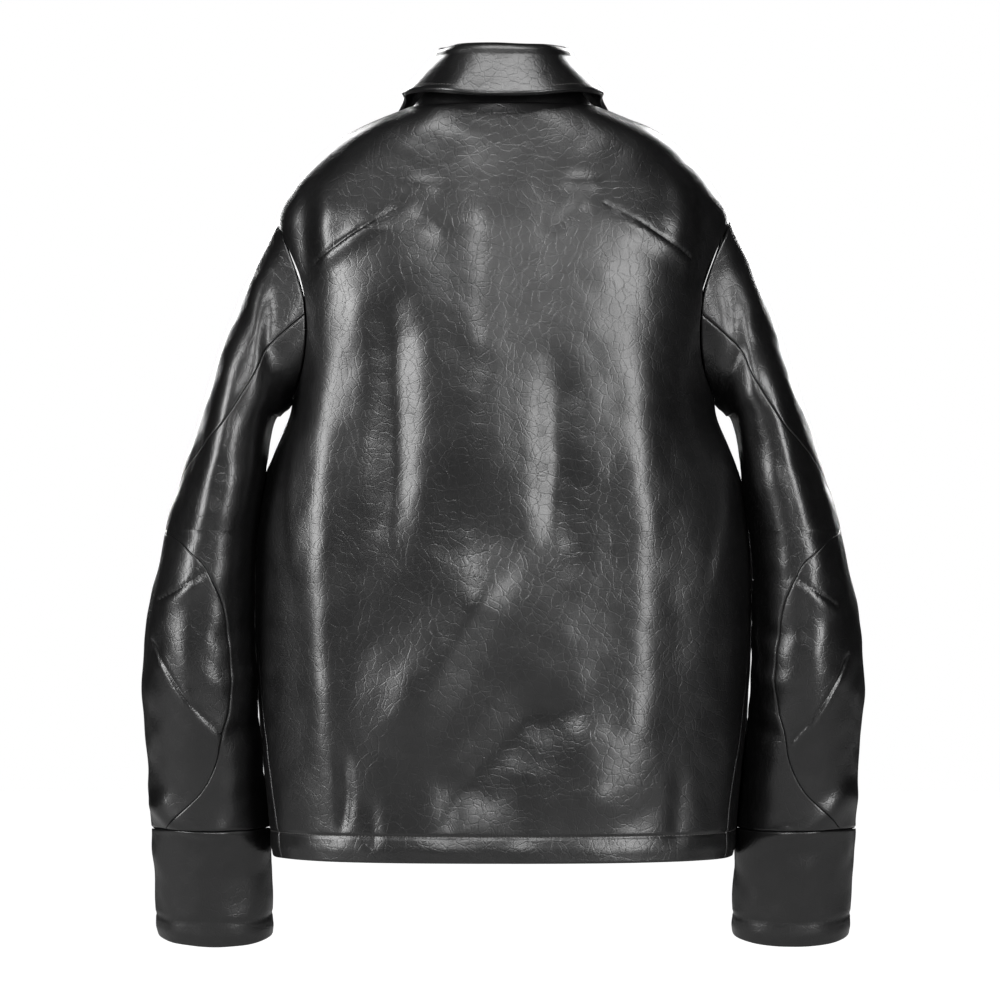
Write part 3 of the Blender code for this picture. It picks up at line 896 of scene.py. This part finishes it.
# Folds of the hanging leather, as (across, height) points in metres from the neckline.
BACK_FOLDS = [
    Fold([(0.153, -0.17), (0.158, -0.36), (0.150, -0.64)], 0.019, 0.0058, 0.25),
    Fold([(0.098, -0.14), (0.094, -0.28), (0.100, -0.42)], 0.020, -0.0080, 0.30),
    Fold([(0.022, -0.01), (0.018, -0.20), (0.022, -0.42)], 0.028, 0.0046, 0.30),
    Fold([(-0.045, -0.20), (-0.048, -0.31), (-0.044, -0.43)], 0.019, -0.0068, 0.35),
    Fold([(-0.115, -0.17), (-0.122, -0.38), (-0.118, -0.63)], 0.022, 0.0046, 0.25),
    Fold([(-0.010, -0.38), (0.045, -0.47), (0.102, -0.575)], 0.034, 0.0088, 0.30, other=0.022),
    Fold([(-0.050, -0.50), (0.010, -0.570), (0.055, -0.635)], 0.020, -0.0068, 0.30, other=0.030),
    Fold([(-0.072, -0.52), (-0.090, -0.64)], 0.034, 0.0056, 0.35),
    Fold([(0.050, -0.57), (0.046, -0.655)], 0.016, -0.0030, 0.35),
    Fold([(0.140, -0.555), (0.137, -0.60), (0.141, -0.645)], 0.006, -0.0028, 0.30),
    Fold([(0.115, -0.60), (0.112, -0.655)], 0.007, -0.0016, 0.30),
    Fold([(-0.155, -0.57), (-0.150, -0.655)], 0.009, -0.0020, 0.30),
    Fold([(-0.010, -0.58), (-0.014, -0.655)], 0.012, -0.0018, 0.30),
    Fold([(-0.1788, -0.2407), (-0.1974, -0.3363), (-0.177, -0.4531)], 0.006, 0.0022, 0.30, other=0.012),
    Fold([(0.1750, -0.25), (0.183, -0.34), (0.176, -0.44)], 0.007, 0.0018, 0.30, other=0.014),
    Fold([(0.172, -0.065), (0.176, -0.115), (0.168, -0.170)], 0.008, -0.0045, 0.30, other=0.012),
    Fold([(0.150, -0.055), (0.155, -0.110), (0.150, -0.150)], 0.010, 0.0020, 0.30),
    Fold([(-0.172, -0.070), (-0.176, -0.120), (-0.166, -0.175)], 0.008, -0.0045, 0.30, other=0.012),
    Fold([(-0.150, -0.060), (-0.154, -0.100), (-0.148, -0.140)], 0.010, 0.0020, 0.30),
    Fold([(0.086, -0.094), (0.060, -0.108), (0.044, -0.128)], 0.008, -0.0016, 0.35),
    Fold([(0.095, -0.078), (0.070, -0.074), (0.052, -0.082)], 0.007, 0.0014, 0.35),
    Fold([(-0.080, -0.089), (-0.056, -0.102), (-0.040, -0.122)], 0.008, -0.0016, 0.35),
    Fold([(-0.090, -0.074), (-0.064, -0.070), (-0.048, -0.078)], 0.007, 0.0014, 0.35),
]
BACK_DARTS = [
    Fold([(0.1690, -0.1443), (0.1300, -0.1150), (0.0912, -0.0929)], 0.0013, -0.0016, 0.05),
    Fold([(-0.0858, -0.0885), (-0.1270, -0.1110), (-0.1673, -0.1389)], 0.0013, -0.0016, 0.05),
]
BACK_SWELLS = [
    Fold([(0.1700, -0.1510), (0.1310, -0.1215), (0.0950, -0.1000)], 0.007, 0.0018, 0.25),
    Fold([(-0.0890, -0.0955), (-0.1280, -0.1175), (-0.1680, -0.1455)], 0.007, 0.0018, 0.25),
]


# Folds that both sleeves have behind, given for the left one.
ARM_BACK_FOLDS = (
    ([(0.196, -0.140), (0.203, -0.190), (0.200, -0.260)], 0.009, -0.0050, 0.35, 0.014),
    ([(0.222, -0.150), (0.226, -0.230), (0.238, -0.310)], 0.010, -0.0024, 0.35),
    ([(0.206, -0.240), (0.222, -0.320), (0.238, -0.390)], 0.010, 0.0024, 0.35),
    ([(0.262, -0.250), (0.276, -0.330), (0.286, -0.400)], 0.012, -0.0022, 0.35),
    ([(0.213, -0.440), (0.236, -0.462), (0.262, -0.470)], 0.009, -0.0020, 0.35),
    ([(0.213, -0.485), (0.240, -0.505), (0.270, -0.505)], 0.009, 0.0020, 0.35),
    ([(0.213, -0.530), (0.232, -0.548), (0.252, -0.548)], 0.008, -0.0018, 0.35),
    ([(0.268, -0.450), (0.272, -0.520), (0.266, -0.590)], 0.016, 0.0030, 0.35),
    ([(0.232, -0.655), (0.236, -0.720)], 0.010, -0.0018, 0.3),
    ([(0.268, -0.655), (0.266, -0.720)], 0.012, 0.0018, 0.3),
)


def sleeve_folds(k, cap, bulge_line, *tucks):
    """Folds and darts of one sleeve; k is 1 on the left and -1 on the right."""
    folds = [Fold(cap, 0.014, 0.0034, 0.30), Fold(bulge_line, 0.008, 0.0044, 0.22, 0.013)]
    for points, *sizes in ARM_BACK_FOLDS:
        folds.append(Fold([(x * k, z) for x, z in points], *sizes))
    for line in tucks:
        folds.append(Fold([(x, z - 0.0065) for x, z in line], 0.007, 0.0016, 0.25))
    return folds, [Fold(line, 0.0013, -0.0016, 0.06) for line in tucks]


ARM_FOLDS = {
    "left": sleeve_folds(
        1.0,
        [(0.1947, -0.1124), (0.2372, -0.2407), (0.2549, -0.2850)],
        [(0.3151, -0.6036), (0.2929, -0.6284), (0.2637, -0.6381), (0.2336, -0.6381)],
        [(0.2575, -0.4080), (0.2820, -0.4240), (0.3053, -0.4363)],
        [(0.3098, -0.4673), (0.2800, -0.5150), (0.2434, -0.5567)],
    ),
    "right": sleeve_folds(
        -1.0,
        [(-0.1832, -0.0726), (-0.1965, -0.1168), (-0.2142, -0.1699), (-0.2319, -0.2142)],
        [(-0.3151, -0.5938), (-0.2664, -0.6345), (-0.2239, -0.6469)],
        [(-0.2478, -0.4089), (-0.2720, -0.4260), (-0.2938, -0.4407)],
        [(-0.3036, -0.4797), (-0.2800, -0.5230), (-0.2513, -0.5611)],
    ),
}
FRONT_FOLDS = [
    Fold(*row, front=True)
    for row in (
        ([(0.090, -0.16), (0.096, -0.30), (0.088, -0.44)], 0.022, 0.0030),
        ([(-0.090, -0.16), (-0.082, -0.30), (-0.092, -0.44)], 0.022, 0.0032),
        ([(0.150, -0.28), (0.156, -0.45), (0.150, -0.62)], 0.018, 0.0028),
        ([(-0.150, -0.28), (-0.158, -0.45), (-0.152, -0.62)], 0.018, 0.0028),
        ([(0.100, -0.54), (0.104, -0.655)], 0.012, -0.0022),
        ([(-0.108, -0.54), (-0.100, -0.655)], 0.012, -0.0022),
    )
]
ARM_FRONT_FOLDS = [
    Fold(*row, front=True)
    for row in (
        ([(0.215, -0.15), (0.232, -0.24), (0.240, -0.34)], 0.010, -0.0024, 0.35),
        ([(0.213, -0.45), (0.245, -0.478), (0.285, -0.470)], 0.009, -0.0028, 0.3, 0.012),
        ([(0.213, -0.495), (0.240, -0.520), (0.275, -0.520)], 0.009, 0.0024),
        ([(0.213, -0.545), (0.236, -0.565), (0.262, -0.560)], 0.009, -0.0022),
        ([(0.290, -0.600), (0.262, -0.632), (0.225, -0.640)], 0.009, 0.0030),
    )
]


def mirrored(folds, k):
    """The folds on one side: k is 1 for the left and -1 for the right."""
    if k > 0:
        return folds
    out = []
    for fold in folds:
        twin = Fold([(0.0, 0.0), (1.0, 1.0)], fold.other, fold.height, fold.fade, fold.width, fold.front)
        twin.line = fold.line * np.array((-1.0, 1.0))
        out.append(twin)
    return out


def beside_arm(points):
    """1 where the body and the sleeve hang against each other, fading to 0 above and below."""
    return ease((-points[:, 2] - 0.29) / 0.05) * ease((points[:, 2] + 0.68) / 0.04)


def hem_relief(above):
    """Groove along a row of stitches, and the slight swell between it and the edge below."""
    return -0.0009 * np.exp(-((above / 0.0017) ** 2)) + 0.0009 * np.exp(-(((above + 0.0115) / 0.0055) ** 2))


def body_shape(points, normal):
    """Lift of the body's leather at each point. It lies flat at the opening's edges."""
    plain = np.abs(points[:, 0]) > 0.050
    side = ease((np.abs(normal[:, 0]) - 0.6) / 0.3) * ease((-points[:, 1] - 0.002) / 0.013)
    quiet = np.where(normal[:, 1] < 0.0, ease((np.abs(points[:, 0]) - 0.045) / 0.03), 1.0)
    total = folded(BACK_FOLDS + BACK_DARTS + BACK_SWELLS, points, normal)
    total += folded(FRONT_FOLDS, points, normal) * plain * quiet
    total += 0.0030 * side * beside_arm(points)
    total += hem_relief(points[:, 2] - HEM_STITCH_Z)
    return total + (waves(points, 0.085, 0.0005, 3) + waves(points, 0.030, 0.00016, 4)) * quiet


def arm_shape(side, k):
    """The lift of one sleeve's leather, as a function of its points and their outward directions."""
    folds, darts = ARM_FOLDS[side]
    every = folds + darts + mirrored(ARM_FRONT_FOLDS, k)

    def shape(points, normal):
        rolls = waves(points, 0.070, 0.0007, 5 if k > 0 else 6) + waves(points, 0.026, 0.00022, 7)
        tilt = CUFF_STITCH_TILT * (points[:, 1] - CUFF_STITCH_Y)
        rolls += hem_relief(points[:, 2] - CUFF_STITCH_Z - tilt) * (points[:, 2] < -0.68)
        inward = ease((-normal[:, 0] * k) / 0.8) * ease((normal[:, 1] - 0.02) / 0.10)
        return folded(every, points, normal) + rolls + 0.0045 * inward * beside_arm(points)

    return shape


def arm_edge(level):
    """Test for the points at an end of the sleeve that isn't turned in."""
    return lambda corner: abs(corner[1] - level) < 1e-4


def make_body():
    grid = refined(back_layout(PITCH, 0.0, NECKLINE), torso, BACK_DARTS)
    panel("shell", "back", torso, grid, "torso", "back_panel", shape=body_shape)
    for side, k in SIDES:
        grid = side_layout(PITCH, 0.0, SHOULDER_END)
        nodes = ("side_front_" + side,)
        panel("shell", "side_" + side, torso, grid, "torso", *nodes, side=k, shape=body_shape)
        zone = front_zone("front_" + side)
        grid = front_layout(FRONTS[side])
        nodes = ("lower_front_" + side, "upper_front_" + side)
        panel("shell", "front_" + side, FRONTS[side], grid, zone, *nodes, side=k, shape=body_shape)
        make_seam_strip(side, k)
        make_front_insides(side, k, FRONTS[side], zone)
    grid = back_layout(CLOTH_PITCH, HEM_LEVEL + 0.003, BACK_LINING_END)
    panel("lining", "lining_of_back", torso, grid, "torso", "lining_back", shape=body_shape)
    levels = steps(torso, 60.0, BACK_LINING_END + 0.006, NECKLINE, FACING_PITCH)
    grid = lattice(levels, -80.0, 80.0, spread(40, 0.30))
    panel("facing", "facing_of_neck", torso, grid, "torso", "neck_facing", shape=body_shape)
    levels = steps(torso, 60.0, 0.001, HEM_LEVEL, FACING_PITCH)
    reach = side_edges(levels)[1] - 0.6
    grid = lattice(levels, -reach, reach, spread(90, 0.72))
    panel("facing", "turned_hem", torso, grid, "torso", "hem_facing", shape=body_shape)


def make_front_insides(side, k, surface, zone):
    """Linings of a side front and a front, and the facing along the opening."""
    like = {"side": k, "shape": body_shape}
    grid = side_layout(CLOTH_PITCH, HEM_LEVEL + 0.003, FRONT_LINING_END)
    panel("lining", "lining_of_side_" + side, torso, grid, "torso", "lining_side_" + side, **like)
    levels = steps(surface, 160.0, HEM_LEVEL + 0.003, FRONT_LINING_END, CLOTH_PITCH)
    seam = angle_at_x(PRINCESS_X, levels) + 0.6
    grid = lattice(levels, seam, seam + (180.0 - seam) * 0.8, spread(12, 0.10))
    panel("lining", "lining_of_front_" + side, surface, grid, zone, "lining_front_" + side, **like)
    levels = steps(surface, 170.0, 0.001, FRONT_LINING_END, FACING_PITCH)
    seam = angle_at_x(PRINCESS_X, levels) + 0.4
    free = angle_at_x(-OVERLAP, levels) - 0.4
    grid = lattice(levels, seam + (180.0 - seam) * 0.8, free, spread(8, 0.05))
    panel("facing", "facing_of_front_" + side, surface, grid, zone, "front_facing_" + side, **like)


def make_seam_strip(side, k):
    """Seam allowance inside the princess seam, which stays with the side front."""
    levels = steps(torso, 130.0, 0.003, SHOULDER_END - 0.02, FACING_PITCH, False, False)
    near, far = angle_at_x(PRINCESS_X + 0.007, levels), angle_at_x(PRINCESS_X - 0.009, levels)
    grid = lattice(levels, near, far, np.linspace(0, 1, 7))
    panel("seam strip", "seam_strip_" + side, torso, grid, "torso", side=k, shape=body_shape)


def make_sleeve(side, k):
    like = {"side": k, "shape": arm_shape(side, k)}
    soft = (arm_edge(JOIN),)
    shoulder = shoulder_zone(side, k)
    elbow = elbow_zone(side, k)
    forearm = "forearm_" + side
    elbow_end = ELBOW_BOTTOM - 0.006

    grid = arm_layout(seam_front, seam_behind, ARM_START, JOIN, high=False)
    nodes = ("outer_sleeve_" + side,)
    panel("shell", "sleeve_top_" + side, sleeve, grid, shoulder, *nodes, soft=soft, **like)
    grid = arm_layout(seam_behind, lambda at: seam_front(at) + 360.0, ARM_START, JOIN, high=False)
    nodes = ("under_sleeve_" + side, "upper_sleeve_" + side)
    panel("shell", "sleeve_under_" + side, sleeve, grid, shoulder, *nodes, soft=soft, **like)

    grid = arm_layout(panel_before, panel_behind, JOIN, elbow_end, low=False)
    grid = refined(grid, sleeve, ARM_FOLDS[side][1], k)
    node = "elbow_panel_" + side
    panel("shell", node + "_leather", sleeve, grid, elbow, node, soft=soft, **like)
    grid = arm_layout(panel_behind, lambda at: panel_before(at) + 360.0, JOIN, elbow_end, low=False)
    node = "elbow_inside_" + side
    panel("shell", node + "_leather", sleeve, grid, elbow, node, soft=soft, **like)

    grid = whole_arm(ELBOW_BOTTOM + 0.006, CUFF_END, FOREARM_PITCH)
    panel("shell", forearm + "_leather", sleeve, grid, forearm, forearm, **like)
    grid = whole_arm(CUFF_STITCH, CUFF_END - 0.005, 0.005)
    panel("facing", "turned_cuff_" + side, sleeve, grid, forearm, "cuff_facing_" + side, **like)
    for name, start, end, where in (
        ("upper", 0.25, JOIN - 0.010, shoulder),
        ("lower", JOIN - 0.005, CUFF_STITCH - 0.03, elbow),
    ):
        grid = whole_arm(start, end, CLOTH_PITCH)
        node = f"sleeve_lining_{name}_{side}"
        panel("lining", f"lining_of_{name}_arm_{side}", sleeve, grid, where, node, **like)


def outside_collar(angle, across):
    """The collar's face seen from outside on the fall, with its normals facing out there."""
    return collar(-np.asarray(angle), across)


def make_collar():
    levels = steps(outside_collar, 30.0, COLLAR_START, 1.0, 0.0026)
    grid = lattice(levels, -174.0, 174.0, spread(170, 0.52))
    panel("top collar", "collar_top", outside_collar, grid, "torso", "top_collar", shape=collar_shape)
    levels = steps(outside_collar, 30.0, COLLAR_START, 1.0, 0.005)
    grid = lattice(levels, -173.5, 173.5, spread(90, 0.52))
    panel("under collar", "collar_under", outside_collar, grid, "torso", "under_collar")


def collar_shape(points, normal):
    """The collar is only a little uneven."""
    return waves(points, 0.050, 0.0005, 9)


def flap(surface):
    """A front's face lifted into the shallow bag of its pocket."""
    outer, inner = POCKET_X

    def bag(angle, level):
        point = surface(angle, level)
        share = np.clip((point[..., 0] - inner) / (outer - inner), 0.0, 1.0)
        up = ease((level - POCKET_LEVELS[0]) / (POCKET_LEVELS[1] - POCKET_LEVELS[0]))
        lift = 0.0030 + 0.010 * np.sin(math.pi * share) * up
        return point + normals(surface, angle, level) * lift[..., None]

    return bag


def make_pocket(side, k):
    surface = FRONTS[side]
    bag = flap(surface)
    body = "front_" + side
    levels = steps(surface, 150.0, *POCKET_LEVELS)
    outer, inner = [angle_at_x(x, levels) for x in POCKET_X]
    grid = lattice(levels, outer, inner, spread(16, 0.058))
    panel("pocket", "patch_pocket_" + side, bag, grid, body, "pocket_" + side, side=k)
    top = POCKET_LEVELS[1] - 0.012
    bottom = POCKET_LEVELS[0] + POCKET_STITCH_IN / 0.40
    outer, inner = POCKET_X[0] - POCKET_STITCH_IN, POCKET_X[1] + POCKET_STITCH_IN
    across = [(float(angle_at_x(x, bottom)), bottom) for x in np.linspace(outer, inner, 14)[1:-1]]
    edge = row_at_x(outer, top, bottom, 30) + across + row_at_x(inner, bottom, top, 30)
    stitch_row("pocket_stitches_" + side, bag, edge, body, k)


def make_stitching():
    """Rows of stitches along the hem, the front edges, the seams, the cuffs and the collar's edge."""
    reach = float(back_edge(HEM_LEVEL)) - 0.6
    row = row_at_level(-reach, reach, HEM_LEVEL, 160)
    stitch_row("hem_stitches_back", torso, row, "torso", shape=body_shape)
    for side, k in SIDES:
        surface = FRONTS[side]
        zone = front_zone("front_" + side)
        near, far = side_edges(HEM_LEVEL)
        row = row_at_level(near + 0.6, far - 0.6, HEM_LEVEL, 60)
        stitch_row("hem_stitches_side_" + side, torso, row, "torso", k, body_shape)
        last = angle_at_x(-OVERLAP + 0.006, HEM_LEVEL)
        row = row_at_level(front_outer(HEM_LEVEL) + 0.6, last, HEM_LEVEL, 60)
        stitch_row("hem_stitches_front_" + side, surface, row, zone, k, body_shape)
        for name, inset in (("edge", 0.006), ("inner", 0.032)):
            row = row_at_x(-OVERLAP + inset, 0.02, 1.96, 160)
            stitch_row(f"front_{name}_stitches_{side}", surface, row, zone, k, body_shape)
        for name, inset, where in (("near", -0.0045, zone), ("far", 0.0045, "torso")):
            row = row_at_x(PRINCESS_X + inset, 0.02, SHOULDER_END - 0.01, 140)
            stitch_row(f"princess_{name}_stitches_{side}", torso, row, where, k, body_shape)
        row = row_at_level(0.0, 360.0, CUFF_STITCH, 120)
        stitch_row("cuff_stitches_" + side, sleeve, row, "forearm_" + side, k, arm_shape(side, k))
    row = row_at_level(-171.0, 171.0, 0.945, 260)
    stitch_row("collar_stitches", outside_collar, row, "torso", 1.0, collar_shape, 0.0035)


def rounded_corners(path, radius, count):
    """The path with each inner corner turned into an arc of points."""
    path = [np.array(p, float) for p in path]
    out = [path[0]]
    for before, corner, after in zip(path, path[1:], path[2:]):
        start = corner + (before - corner) / np.linalg.norm(before - corner) * radius
        end = corner + (after - corner) / np.linalg.norm(after - corner) * radius
        for t in np.linspace(0.0, 1.0, count + 1):
            out.append(start * (1 - t) ** 2 + corner * 2 * t * (1 - t) + end * t * t)
    out.append(path[-1])
    return np.array(out)


def make_loop():
    """Hanger loop: a folded strap from the neck facing over the peg and back."""
    wide, thick = 0.0080, 0.0023
    corners = 24
    low, high = box_of("hanger_loop")
    top = high[2]
    x = (high[0] - low[0]) / 2 - thick / 2
    path = [(-x, low[2] + 0.0005), (-x, top - 0.0075), (-x + 0.0110, top - thick / 2)]
    path += [(-a, b) for a, b in reversed(path)]
    path = rounded_corners(path, 0.005, 6)
    rings = []
    for k, (px, pz) in enumerate(path):
        way = path[min(k + 1, len(path) - 1)] - path[max(k - 1, 0)]
        way /= np.linalg.norm(way)
        side = np.array((way[1], 0.0, -way[0]))
        back = high[1] - wide / 2 - 0.011 + 0.011 * (top - pz) / (top - low[2])
        ring = []
        for t in np.arange(corners) * 2 * math.pi / corners:
            a = math.copysign(abs(math.cos(t)) ** 0.35, math.cos(t)) * wide / 2
            b = math.copysign(abs(math.sin(t)) ** 0.55, math.sin(t)) * thick / 2
            ring.append(np.array((px, back + a, pz)) + side * b)
        rings.append(ring)
    rings = [[sum(rings[0]) / corners]] + rings + [[sum(rings[-1]) / corners]]
    rounded_solid("loop_strap", rings, "leather", "torso", "hanger_loop")


def box_of(node):
    """Low and high corner of a node of the frame."""
    low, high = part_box(node)
    return np.array(low), np.array(high)


def turned(name, profile, centre, facing, body, node):
    """A turned fitting from (radius, height) pairs in millimetres along its axis."""
    facing = Vector(facing).normalized()
    across = facing.orthogonal().normalized()
    other = facing.cross(across)
    rings = []
    for radius, height in profile:
        middle = Vector(centre) + facing * (height / 1000.0)
        if radius == 0:
            rings.append([middle])
            continue
        ring = []
        for k in range(STUD_CORNERS):
            t = 2.0 * math.pi * k / STUD_CORNERS
            ring.append(middle + (across * math.cos(t) + other * math.sin(t)) * (radius / 1000.0))
        rings.append(ring)
    rounded_solid(name, rings, "studs", body, node)


def make_studs():
    """Five press studs; the top one sits near the neck and goes with the torso, the others with the fronts.
    """
    heights = torso(180.0, np.linspace(0.0, 2.0, 4001))[:, 2]
    for number, height in enumerate(STUD_HEIGHTS, 1):
        level = np.array(float(np.interp(-height, heights, np.linspace(0.0, 2.0, 4001))))
        angle = np.array(180.0)
        facing = normals(left_front, angle, level)
        face = left_front(angle, level) + NECK
        under = torso(angle, level) + NECK
        left = "front_left" if number > 1 else "torso"
        right = "front_right" if number > 1 else "torso"
        behind = facing * sum(LAYERS["facing"][:2])
        turned(f"press_cap_{number}", CAP, face, facing, left, f"stud_cap_{number}")
        turned(f"press_socket_{number}", SOCKET, face - behind, facing, left, f"stud_socket_{number}")
        turned(f"press_stud_{number}", STUD, under, facing, right, f"stud_{number}")
        turned(f"press_post_{number}", POST, under - behind, facing, right, f"stud_post_{number}")


# ---------- stage


def soft_box(name, place, width, height, power):
    light = bpy.data.lights.new(name, "AREA")
    light.shape = "RECTANGLE"
    light.size = width
    light.size_y = height
    light.energy = power
    obj = bpy.data.objects.new(name, light)
    obj.location = place
    obj.rotation_euler = (Vector(LIGHTS_AIM) - Vector(place)).to_track_quat("-Z", "Y").to_euler()
    bpy.context.scene.collection.objects.link(obj)


def for_camera(tree, other, seen):
    """The value seen for what the camera sees straight, and other for light that bounces."""
    path = tree.nodes.new("ShaderNodeLightPath")
    return ramp(tree, path.outputs["Is Camera Ray"], 0.0, 1.0, other, seen)


def make_stage():
    """White floor and background that give the leather little light, soft boxes, and the camera."""
    material, tree, shader = node_material("pale floor")
    shader.inputs["Base Color"].default_value = (0.35, 0.35, 0.35, 1.0)
    shader.inputs["Roughness"].default_value = 1.0
    shader.inputs["Emission Color"].default_value = (1.0, 1.0, 1.0, 1.0)
    tree.links.new(for_camera(tree, 0.0, 1.0), shader.inputs["Emission Strength"])
    corners = [(x * FLOOR_HALF, y * FLOOR_HALF, FLOOR_Z) for x, y in ((-1, -1), (1, -1), (1, 1), (-1, 1))]
    floor = add_mesh("floor", corners, [(0, 1, 2, 3)], material)
    floor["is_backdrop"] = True
    world = bpy.data.worlds.new("studio")
    world.use_nodes = True
    bpy.context.scene.world = world
    tree = world.node_tree
    background = tree.nodes["Background"]
    background.inputs["Color"].default_value = (1.0, 1.0, 1.0, 1.0)
    tree.links.new(for_camera(tree, 0.012, 1.0), background.inputs["Strength"])
    soft_box("left", (2.55, 1.40, 0.4), 0.9, 2.1, 120)
    soft_box("middle", (0.30, 2.9, 1.0), 0.5, 1.2, 60)
    soft_box("right", (-1.75, 2.55, 0.2), 0.8, 2.1, 100)
    soft_box("top", (0.0, 0.9, 2.3), 2.0, 0.8, 70)
    soft_box("front_left", (1.1, -3.0, 0.7), 0.6, 1.6, 45)
    soft_box("front_right", (-1.1, -3.0, 0.7), 0.6, 1.6, 45)
    camera = bpy.data.cameras.new("camera")
    camera.sensor_width = 36.0
    camera.lens = camera.sensor_width * CAMERA_AWAY / FRAME_WIDTH
    camera.clip_end = 60.0
    obj = bpy.data.objects.new("camera", camera)
    obj.location = (AIM[0], AIM[1] + CAMERA_AWAY, AIM[2])
    obj.rotation_euler = (math.pi / 2, 0.0, math.pi)
    bpy.context.scene.collection.objects.link(obj)
    bpy.context.scene.camera = obj
    bpy.context.scene.view_settings.view_transform = "Standard"


make_body()
for side, k in SIDES:
    make_sleeve(side, k)
    make_pocket(side, k)
make_collar()
make_loop()
make_stitching()
make_studs()
make_stage()

box = lambda corners: [[float(x) for x in corner] for corner in corners]
{"cad": box(CAD_BOX), "visual": box(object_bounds())}
